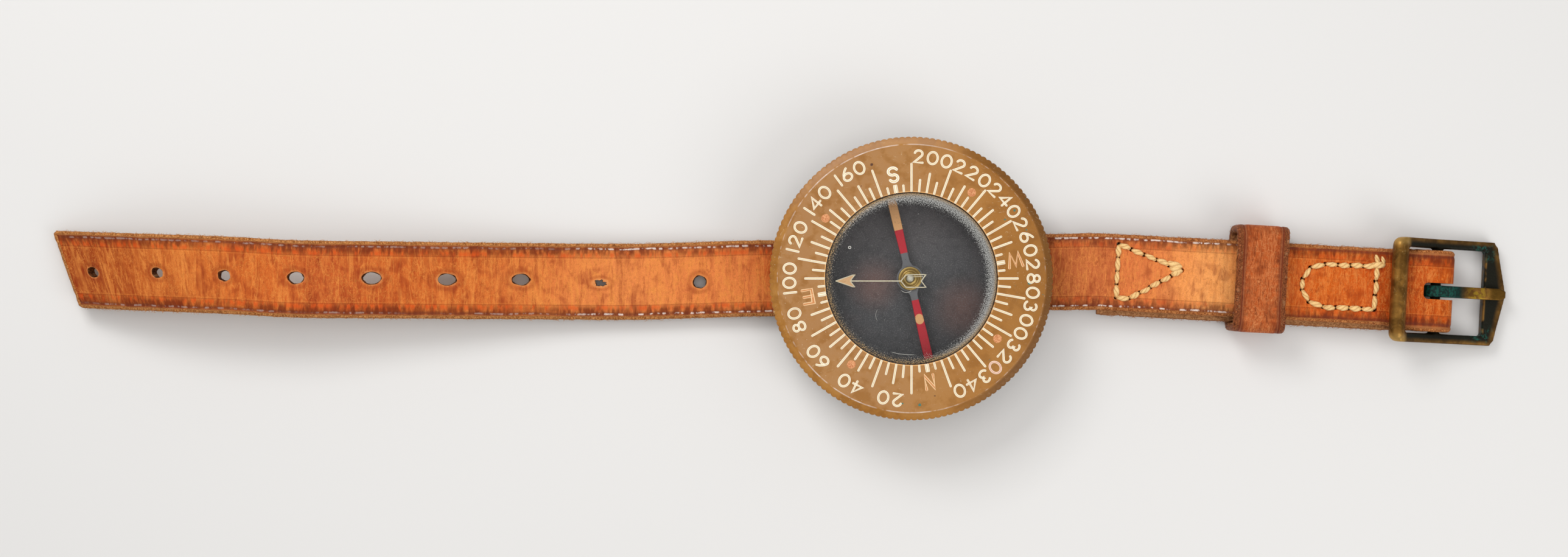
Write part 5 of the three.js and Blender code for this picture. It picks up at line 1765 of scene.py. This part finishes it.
@dataclass
class StrapTail:
    """Punched tail of the strap with its stretch in the case: one piece of leather, arched as it lies."""

    hinge: float = -24.45
    inside_end: float = 21.9
    middle: float = 3.1
    crest: float = 11.6
    length: float = 149
    half: float = 7.7
    tip_cut: float = 6.3
    skew: float = 40
    drift: float = 1.3
    sway: float = 2
    hole: float = 1.22
    stretched: float = 1.45
    line_at: tuple[float, ...] = (0, 0.04, 0.15, 0.3, 0.5, 0.71, 0.855, 1)
    line_up: tuple[float, ...] = (0, 0, -0.03, 0.09, 0.58, 1, 0.75, -0.2)
    sway_at: tuple[float, ...] = (0, 0.05, 0.135, 0.22, 0.38, 0.54, 0.66, 0.742, 0.83, 0.92, 1)
    sway_by: tuple[float, ...] = (0, 0, -0.185, -0.335, -0.25, -0.15, -0.03, 0.3, 0.55, 0.775, 1)
    holes: tuple[float, ...] = (0.937, 0.842, 0.751, 0.657, 0.558, 0.459, 0.361, 0.254, 0.119)
    hole_drift: tuple[float, ...] = (-0.4, 0, -0.1, 0.2, 0.36, 0.2, 0.3, -0.3, -0.4)
    hole_wear: tuple[float, ...] = (-0.1, -0.1, 0, 0.45, 1, 0.95, 0.85, 0.5, 0.1)
    hole_squash: tuple[float, ...] = (0.8, 0.78, 0.85, 0.95, 0.95, 0.92, 0.9, 0.62, 1)
    torn: int = 7

    def __post_init__(self) -> None:
        """Works out the line of the leather's middle and its sway."""
        rise, shares = self.crest - self.middle, zip(self.line_at, self.line_up)
        points = [(self.hinge - self.length * a, self.middle + rise * b) for a, b in shares]
        line = spline(points[::-1], 300)
        self.line_x = [point[0] for point in line]
        self.line_z = [point[1] for point in line]
        sway = spline([(a, b * self.sway) for a, b in zip(self.sway_at, self.sway_by)], 120)
        self.sway_share = [point[0] for point in sway]
        self.sway_y = [point[1] for point in sway]

    def place(self, along: float, across: float, height: float) -> Point:
        """Where a point of the leather goes; along is 0 at the hinge and grows to the tip."""
        cut = self.tip_cut * (self.half - across) / (2 * self.half)
        x = self.hinge - along + cut * min(max((along - self.length + self.skew) / self.skew, 0), 1)
        if x > self.hinge:
            y = self.drift * (x - self.hinge) / (2 * -self.hinge)
            return (x, across + y, self.middle + height)
        level = float(np.interp(x, self.line_x, self.line_z))
        before, after = (float(np.interp(x + gap, self.line_x, self.line_z)) for gap in (-0.2, 0.2))
        slope = (after - before) / 0.4 * ease(self.hinge - x, 0, 1)
        norm = math.hypot(1, slope)
        y = float(np.interp((self.hinge - x) / self.length, self.sway_share, self.sway_y))
        return (x - height * slope / norm, across + y, level + height / norm)

    def unskewed(self, run: float) -> float:
        """How far along the leather's middle lies at a level distance from the hinge."""
        plain, cut = self.length - self.skew, self.tip_cut / 2
        return run if run <= plain else (run - cut * plain / self.skew) / (1 - cut / self.skew)

    def punch(self) -> Piece:
        """Returns the nine worn holes as one cutting shape."""
        shape = Shape()
        for i, (share, drift, wear) in enumerate(zip(self.holes, self.hole_drift, self.hole_wear)):
            stretch = 1 + (self.stretched - 1) * wear
            rows = []
            for k, height in enumerate((-2, -1.05, 0, 0.75, 0.95, 1.15, 2)):
                flare = (0, 0, 0, 0.02, 0.08, 0.2, 0.4)[k]
                row = []
                for j in range(40):
                    angle = math.tau * j / 40
                    uneven = 0.12 * ripple(math.cos(angle) * 1.5 + i * 9, math.sin(angle) * 1.5, height * 0.5)
                    if i == self.torn:
                        uneven += 0.5 * ripple(math.cos(angle) * 1.9, math.sin(angle) * 1.9 + 4, 2) - 0.34
                    reach = self.hole + uneven + flare
                    along = self.unskewed(self.length * share) - reach * stretch * math.cos(angle)
                    across = drift + reach * self.hole_squash[i] * math.sin(angle)
                    row.append(self.place(along, across, height))
                rows.append(row)
            shape.grid(rows, closed=True, paint=3, ends=(0, None))
        return shape.build("hole_punch")

    def build(self) -> list[Piece]:
        """Makes the tail and its fibres.

        Returns:
            The pieces.
        """
        inside = self.hinge - self.inside_end
        alongs = [inside + k * (0 - inside) / 44 for k in range(44)]
        alongs += [k * self.length / 330 for k in range(328)]
        alongs += [self.length - gap for gap in (1.2, 0.9, 0.6, 0.35, 0.15, 0)]
        stations = [(along, self.half - 0.35 * ease(along, self.length - 0.7, self.length) ** 2)
            for along in alongs]
        band = Band(seed=1)
        zones = (
            (-25, 196, 90, 34), (1, 204, 92, 34), (8, 236, 132, 68), (34, 240, 142, 76),
            (60, 212, 108, 44), (76, 204, 96, 34), (92, 198, 92, 38), (106, 212, 104, 38),
            (121, 214, 114, 46), (139, 170, 74, 22), (150, 156, 64, 18),
        )
        more = self.stretched - 1
        worn = zip(self.holes, self.hole_drift, self.hole_wear, self.hole_squash)
        rims = tuple(
            (self.unskewed(self.length * share), drift, self.hole * (1 + more * wear), self.hole * squash)
            for share, drift, wear, squash in worn
        )
        grain = Leather("strap_leather_tail", self.half, zones, holes=rims, wrinkle=1.15, streaky=0.62,
            crinkled=0.32).make()
        raw = RawLeather("strap_raw_edge", shade(214, 146, 84), shade(140, 80, 36)).make()
        flesh = RawLeather("strap_flesh_side", shade(190, 136, 90), shade(140, 90, 54), 0.7).make()
        # Painted shade: the holes' walls are much darker than the cut edges, for the shade deep inside the
        # holes.
        wall = RawLeather("strap_hole_wall_shaded", shade(120, 66, 32), shade(58, 28, 12)).make()
        strap = band.weave(stations, self.place, raw_end=1.5).build("strap_tail_leather", grain, raw, flesh,
            wall, sharp=65)
        Mesher.cut(strap, self.punch(), 65)
        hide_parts("strap_tail", "strap_centre")
        fuzz = band.fuzz([(4, self.half), (self.length, self.half)], self.place, 5)
        fuzz = fuzz.build("strap_tail_fibres", Fuzz("tail_fibres").make(), sharp=180)
        for piece in (strap, fuzz):
            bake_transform(piece)
        return [strap, fuzz]


@dataclass
class BuckleStrap:
    """Buckle end of the strap: out of the case, round the buckle's pin and back under itself."""

    start: float = 22
    hinge: float = 24.45
    level_start: float = 36.95
    middle: float = 3.1
    upper: float = 5.6
    under: float = 3.2
    fold: float = 4.4
    fold_radius: float = 2.4
    pin: float = 106.7
    spread: float = 11
    under_end: float = 38.6
    upper_half: float = 7.7
    under_half: float = 8.2
    upper_shift: float = 0.3
    under_shift: float = -0.2
    drift: float = 1.3
    turn_start: float = 30
    turn_length: float = 10
    turn: float = math.radians(-3.1)
    slot_half: float = 1.65
    slot_reach: float = 3.2

    def __post_init__(self) -> None:
        """Works out the line of the leather's middle in side view."""
        rise = spline([(self.hinge, 3.1), (25.5, 3.25), (30.7, 4.35), (self.level_start, self.upper)], 30)
        line = [(self.start, self.middle), *rise]
        run_in = self.pin - self.spread
        line.append((run_in, self.upper))
        ends = [(1, self.upper), (-1, self.under)]
        sides = []
        for sign, level in ends:
            lift = sign * self.fold_radius + self.fold - level
            knots = [(run_in, level), (run_in + self.spread / 2, level),
                (self.pin - self.spread / 3, level + lift), (self.pin, level + lift)]
            curve = []
            for k in range(13):
                t = k / 12
                weights = ((1 - t) ** 3, 3 * t * (1 - t) ** 2, 3 * t * t * (1 - t), t**3)
                curve.append(tuple(sum(w * p[i] for w, p in zip(weights, knots)) for i in (0, 1)))
            sides.append(curve)
        line += sides[0][1:]
        line += arc((self.pin, self.fold), (self.fold_radius, self.fold_radius), 90, -90, 20)[1:]
        line += sides[1][::-1][1:]
        line.append((self.under_end, self.under))
        self.line = np.array(spaced(line, 0.25))
        self.run = run_along(self.line)
        self.fold_run = float(self.run[int(np.argmax(self.line[:, 0]))])
        self.total = float(self.run[-1])

    def plan(self, s: float, n: float) -> Flat:
        """Where a point along and across the run lies in plan, with the strap's slight turn."""
        if s <= self.turn_start:
            return (s, n + self.drift)
        rate = self.turn / self.turn_length
        angle = min(s - self.turn_start, self.turn_length) * rate
        past = max(s - self.turn_start - self.turn_length, 0)
        x = self.turn_start + math.sin(angle) / rate + past * math.cos(self.turn) - n * math.sin(angle)
        y = self.drift + (1 - math.cos(angle)) / rate + past * math.sin(self.turn) + n * math.cos(angle)
        return (x, y)

    def width(self, run: float) -> Flat:
        """Half width and sideways shift at a distance along the leather."""
        s = float(np.interp(run, self.run, self.line[:, 0]))
        if run < self.fold_run:
            near = ease(s, self.pin - self.spread, self.pin - self.spread / 2)
            turned = ease(s, self.turn_start, self.turn_start + self.turn_length)
            half = self.upper_half + (self.under_half - self.upper_half) * near
            return (half, self.upper_shift * turned * (1 - near))
        under = ease(s, self.pin - self.spread / 2, self.pin - self.spread)
        return (self.under_half, self.under_shift * under)

    def place(self, along: float, across: float, height: float) -> Point:
        """Where a point of the leather goes; along is measured over the leather's middle."""
        spots = (max(along - 0.3, 0), along, min(along + 0.3, self.total))
        s, z = lifted(self.line, self.run, spots, height)
        return (*self.plan(s, across + self.width(along)[1]), z)

    def openings(self, holes: Sequence[Flat]) -> Piece:
        """The prong's slot and the awl holes as one cutting shape.

        Args:
            holes: Places of the awl holes.

        Returns:
            The cutter.
        """
        shape = Shape()
        start, end, half = self.pin - self.slot_reach, self.pin + 6, self.slot_half
        outline = [(end, half)] + arc((start + 0.9, half - 0.9), (0.9, 0.9), 90, 180, 6)
        outline += arc((start + 0.9, 0.9 - half), (0.9, 0.9), 180, 270, 6) + [(end, -half)]
        rows = [[(*self.plan(s, n), z) for s, n in outline] for z in (-1, 12)]
        runs = [0]
        for corner, after in zip(outline, outline[1:] + outline[:1]):
            runs.append(runs[-1] + math.dist(corner, after))
        shape.grid(rows, lambda a, b: (runs[b], 13 * a), True, paint=1, ends=(0, None))
        for s, n in holes:
            rows = []
            for z, radius in ((1.4, 0.52), (2.3, 0.42), (6.35, 0.42), (6.75, 0.58)):
                x, y = self.plan(s, n)
                ring = [on_circle(radius, a * math.tau / 9) for a in range(9)]
                rows.append([(x + a, y + b, z) for a, b in ring])
            shape.grid(rows, closed=True, ends=(0, None))
        return shape.build("slot_cutter")

    def build(self, holes: Sequence[Flat]) -> list[Piece]:
        """Makes the folded strap and its fibres.

        Args:
            holes: Places of the awl holes.

        Returns:
            The pieces.
        """
        steps = int(self.total / 0.5)
        stations = [(k * self.total / steps, self.width(k * self.total / steps)[0]) for k in range(steps + 1)]
        band = Band(seed=2, ragged=0.12)
        zones = (
            (22, 176, 90, 48), (30, 188, 96, 50), (40, 204, 108, 58), (43, 228, 124, 66),
            (52, 234, 132, 72), (57, 255, 164, 92), (63, 255, 176, 102), (66, 252, 164, 92),
            (77, 206, 86, 14), (84, 216, 98, 20), (95, 204, 80, 8), (101, 190, 72, 2),
            (108, 204, 88, 6), (114, 150, 54, 4),
        )
        zones = tuple((place - self.start, *screen) for place, *screen in zones)
        grain = Leather(
            "strap_leather_buckle_end", 7.9, zones, fibre=0.45, gloss=0.36, wrinkle=0.9, glossy_at=(18, 26),
            dull_share=0, streaky=0.42, crinkled=0.36, reddish=0.3, darkened=0.85, shadow=shade(132, 46, 6),
            hairline=shade(248, 158, 78), edge=shade(96, 30, 4), burnt_at=self.fold_run,
        ).make()
        raw = RawLeather("buckle_end_raw_edge", shade(206, 134, 76), shade(136, 72, 34)).make()
        flesh = RawLeather("buckle_end_flesh_side", shade(190, 136, 90), shade(140, 90, 54), 0.7).make()
        strap = band.weave(stations, self.place).build("strap_buckle_leather", grain, raw, flesh, sharp=65)
        Mesher.cut(strap, self.openings(holes), 65)
        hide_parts("strap_buckle_end")
        outer = [(s, h) for s, h in stations if s > 5 and s < self.fold_run - 9]
        inner = [(s, h) for s, h in stations if s > self.fold_run + 9]
        fuzz = band.fuzz(outer, self.place, 6, 0.6)
        under = Band(seed=2.6).fuzz(inner, self.place, 7, 0.8)
        pieces = [strap, fuzz.build("strap_buckle_fibres",
            Fuzz("buckle_end_fibres", shade(196, 138, 88)).make(), sharp=180)]
        pieces.append(under.build("strap_under_fibres", Fuzz("under_fibres", shade(188, 128, 78)).make(),
            sharp=180))
        for piece in pieces:
            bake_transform(piece)
        return pieces


@dataclass
class Stitching:
    """Hand-sewn triangle and D-shaped seams, each stitch a flat twisted spindle of thread."""

    strap: BuckleStrap
    pitch: float = 2.65
    width: float = 0.53
    flatness: float = 0.62
    top: float = 6.65
    low: float = 2.15
    base: float = 42
    apex: Flat = (54.9, 1.4)
    box_start: float = 79.3
    box_end: float = 94
    box_half: float = 4.3
    box_shift: float = -0.05
    shoulder: float = 4.4

    def along(self, corners: Sequence[Flat]) -> list[Flat]:
        """Evenly spaced stitch ends round a closed seam."""
        spots = []
        for i, start in enumerate(corners):
            end = corners[(i + 1) % len(corners)]
            count = max(1, round(math.dist(start, end) / self.pitch))
            spots += [tuple(a + (b - a) * k / count for a, b in zip(start, end)) for k in range(count)]
        return spots

    def triangle(self) -> list[Flat]:
        """Stitch ends of the triangle."""
        return self.along([(self.base, 6), (self.base, -4.75), (self.base + self.pitch, -4.75), self.apex])

    def box(self) -> list[Flat]:
        """Stitch ends of the D-shaped seam."""
        places = (self.box_start, self.box_start + self.shoulder / 3, self.box_start + self.shoulder,
            self.box_end)
        halves = [self.box_half * share for share in (0.25, 0.8, 1, 1)]
        upper, lower = ([(s, side * half + self.box_shift) for s, half in zip(places, halves)]
            for side in (1, -1))
        return self.along(upper[::-1] + lower)

    def spindle(self, shape: Shape, start: Flat, end: Flat, top: bool, fat: float, twist: float) -> None:
        """Adds one stitch between two holes.

        Args:
            shape: Where it is added.
            start: First hole.
            end: Second hole.
            top: Whether it lies on top.
            fat: Its width against a plain stitch's.
            twist: Turns of its strands.
        """
        steps = 12
        path, radii = [], []
        for k in range(steps + 1):
            t = k / steps
            bulge = math.sin(math.pi * t)
            s, n = (a + (b - a) * (0.03 + 0.94 * t) for a, b in zip(start, end))
            x, y = self.strap.plan(s, n)
            lift = -0.42 + 0.66 * bulge**0.45
            path.append((x, y, self.top + lift if top else self.low - lift))
            radii.append(self.width * fat * (0.3 + 0.7 * bulge**0.6))
        shape.tube(path, radii, 12, self.flatness, 3, twist)

    def seam(self, name: str, spots: Sequence[Flat], extras: Sequence[tuple[Flat, Flat, float]],
            seed: int) -> Piece:
        """Makes one seam.

        Args:
            name: Name of the piece.
            spots: Its holes.
            extras: Both ends and fatness of each knot on top.
            seed: Seed of its small differences.

        Returns:
            The piece.
        """
        random = np.random.default_rng(seed)
        shape = Shape()
        for i, start in enumerate(spots):
            end = spots[(i + 1) % len(spots)]
            for top in (True, False):
                jitter = [float(v) for v in random.normal(0, 0.07, 4)]
                fat = 1 + float(random.normal(0, 0.07))
                a, b = (start[0] + jitter[0], start[1] + jitter[1]), (end[0] + jitter[2], end[1] + jitter[3])
                self.spindle(shape, a, b, top, fat, 1.3 + float(random.normal(0, 0.25)))
        for start, end, fat in extras:
            self.spindle(shape, start, end, True, fat, 1.6)
        return shape.build(name, Thread(f"{name}_linen").make(), sharp=180)

    def build(self) -> list[Piece]:
        """Makes both seams.

        Returns:
            The pieces.
        """
        s, n = self.apex
        knots = [((s - 3.1, n + 1.5), (s + 0.2, n + 0.6), 1.25),
            ((s - 2.6, n + 0.4), (s + 0.35, n - 0.25), 1.15)]
        knots += [((s - 2.2, n - 0.9), (s + 0.1, n + 0.1), 1)]
        triangle = self.seam("triangle_thread", self.triangle(), knots, 5)
        corner = (self.box_end, self.box_half)
        stubs = [((corner[0] - 1.3, corner[1] + 0.25), (corner[0] + 1.9, corner[1] + 0.35), 1.3)]
        stubs += [((corner[0] + 0.2, corner[1] + 0.2), (corner[0] - 0.2, corner[1] + 2.5), 0.85)]
        stubs += [((corner[0] + 1.5, corner[1] + 0.3), (corner[0] + 1, corner[1] + 2.2), 0.7)]
        box = self.seam("box_thread", self.box(), stubs, 6)
        triangle = mounted(triangle, "buckle_strap", "thread", "triangle_stitching")
        return [triangle, mounted(box, "buckle_strap", "thread", "box_stitching")]


@dataclass
class Keeper:
    """Sliding loop of thicker leather with a crease along each edge."""

    strap: BuckleStrap
    start: float = 65.2
    width: float = 10.2
    thickness: float = 1.75
    shift: float = 0.5
    inner_half: float = 9.05
    inner_top: float = 9.25
    corner: float = 1.55

    def build(self) -> list[Piece]:
        """Makes the loop and its fibres.

        Returns:
            The pieces.
        """
        t = self.thickness
        half, low, high, r = self.inner_half + t / 2, t / 2, self.inner_top + t / 2, self.corner
        corners = ((half - r, high - r, 90), (half - r, low + r, 0), (r - half, low + r, -90),
            (r - half, high - r, 180))
        loop = [(0, high)]
        for n, z, first in corners:
            loop += arc((n, z), (r, r), first, first - 90, 8)
        loop.append((0, high))
        line = np.array(spaced(loop, 0.5))
        run = run_along(line)
        total = float(run[-1])

        def place(along: float, across: float, height: float) -> Point:
            """Where a point of the loop's leather goes."""
            along = along % total
            n, z = lifted(line, run, ((along - 0.3) % total, along, (along + 0.3) % total), height)
            bow = 1 + 0.035 * (abs(n) / half) ** 4 * (1 if z > 5 else 0)
            x, y = self.strap.plan(self.start + self.width / 2 - across * bow, n + self.shift)
            return (x, y, max(z, 0))

        band = Band(self.thickness, 1.5, 0.13, 0.09, 0.04, 3)
        steps = int(total / 0.5)
        stations = [(k * total / steps, self.width / 2) for k in range(steps)]
        zones = ((0, 192, 90, 36), (10, 178, 80, 30), (30, 162, 72, 26), (total, 192, 90, 36))
        leather = Leather(
            "keeper_leather", self.width / 2, zones, rows=Rows.ALONG, line_width=0.042, crease=1.5,
            crease_share=0.08, darkened=0.5, rim=shade(112, 52, 24), crease_colour=shade(226, 150, 96),
            edge=shade(104, 40, 12), gloss=0.5, wrinkle=0.6, glossy_at=(40, 90), streaky=0.3, reddish=0.1,
            pressed=(1.3, 0.95), shadow=shade(84, 34, 14), hairline=shade(232, 150, 92),
        )
        raw = RawLeather("keeper_raw_edge", shade(172, 98, 56), shade(84, 38, 16), 0.35, 0.45).make()
        flesh = RawLeather("keeper_flesh_side", shade(176, 122, 78), shade(120, 74, 44), 0.6).make()
        loop_piece = band.weave(stations, place, True).build("keeper_leather_loop", leather.make(), raw,
            flesh, sharp=65)
        fuzz = band.fuzz([(0, self.width / 2), (total, self.width / 2)], place, 5, 0.5)
        fuzz = fuzz.build("keeper_fibres", Fuzz("keeper_fibres", shade(206, 150, 98)).make(), sharp=180)
        loop_piece = mounted(loop_piece, "keeper", "keeper_leather", "keeper_loop")
        return [loop_piece, mounted(fuzz, "keeper", "keeper_leather")]


@dataclass
class Buckle:
    """Cast brass buckle and its prong, rounded by wear."""

    turn: float = math.radians(-3.1)
    origin: Flat = (0.05365, 3.19269)
    frame_grain: float = 0.24
    prong_grain: float = 0.16

    def build(self, nodes: dict) -> list[Piece]:
        """Makes both from the frame's own nodes.

        Args:
            nodes: CAD nodes by name.

        Returns:
            The pieces.
        """
        made = []
        for name, node, body, slot, grain, rounds, patina in (
            ("buckle_casting", "buckle_frame", "buckle", "buckle_brass", self.frame_grain, 6, Patina.FRAME),
            ("prong_casting", "buckle_prong", "prong", "prong_brass", self.prong_grain, 3, Patina.PRONG),
        ):
            finish = AgedBrass(f"{name}_aged", patina, self.origin, self.turn).make()
            piece = Mesher.softened(name, nodes[node], grain, rounds, self.turn, finish)
            made.append(mounted(piece, body, slot, node))
        return made


def dress_nodes(nodes: dict) -> None:
    """Gives the CAD nodes that stay in view their own finishes.

    Args:
        nodes: CAD nodes by name.
    """
    brass = Metal("screw_brass", shade(206, 168, 92), shade(136, 98, 46), 0.3).make()
    steel = Metal("spring_steel_blued", shade(170, 172, 176), shade(110, 108, 106), 0.28).make()
    rubber = MouldedPlastic("gasket_rubber_black", shade(34, 34, 34), shade(24, 24, 24), 0.7).make()
    plastic = MouldedPlastic("ring_plastic_brown", shade(84, 60, 38), shade(60, 42, 26), 0.45).make()
    black = BowlPlastic().make()
    finishes = {"bowl": black, "filler_plug": black, "crystal_gasket": rubber, "crystal_clamp_ring": plastic}
    finishes |= {name: brass for name in ("pivot_post", "cover_screw_1", "cover_screw_2", "cover_screw_3",
        "cover_screw_4")}
    finishes |= {name: steel for name in ("pivot_pin", "bezel_snap_ring", "bezel_wave_spring")}
    for name, finish in finishes.items():
        for slot in nodes[name].material_slots:
            slot.material = finish


def main() -> None:
    """Builds the scene, piece by piece."""
    logging.basicConfig(level=logging.INFO, format="%(name)s %(message)s")
    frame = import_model()
    Studio().build()
    dress_nodes(frame["nodes"])
    LOG.info("CAD nodes that stay in view: dressed")
    strap = BuckleStrap()
    stitching = Stitching(strap)
    holes = stitching.triangle() + stitching.box()
    for label, make in (
        ("bezel", Bezel().build),
        ("case", CaseShell().build),
        ("capsule", Capsule().build),
        ("needle", Needle().build),
        ("tail", StrapTail().build),
        ("buckle end", lambda: strap.build(holes)),
        ("stitching", stitching.build),
        ("keeper", Keeper(strap).build),
        ("buckle", lambda: Buckle().build(frame["nodes"])),
    ):
        for piece in make():
            LOG.info("%s: %s, %d faces", label, piece.name, len(piece.data.polygons))


if __name__ == "__main__":
    main()
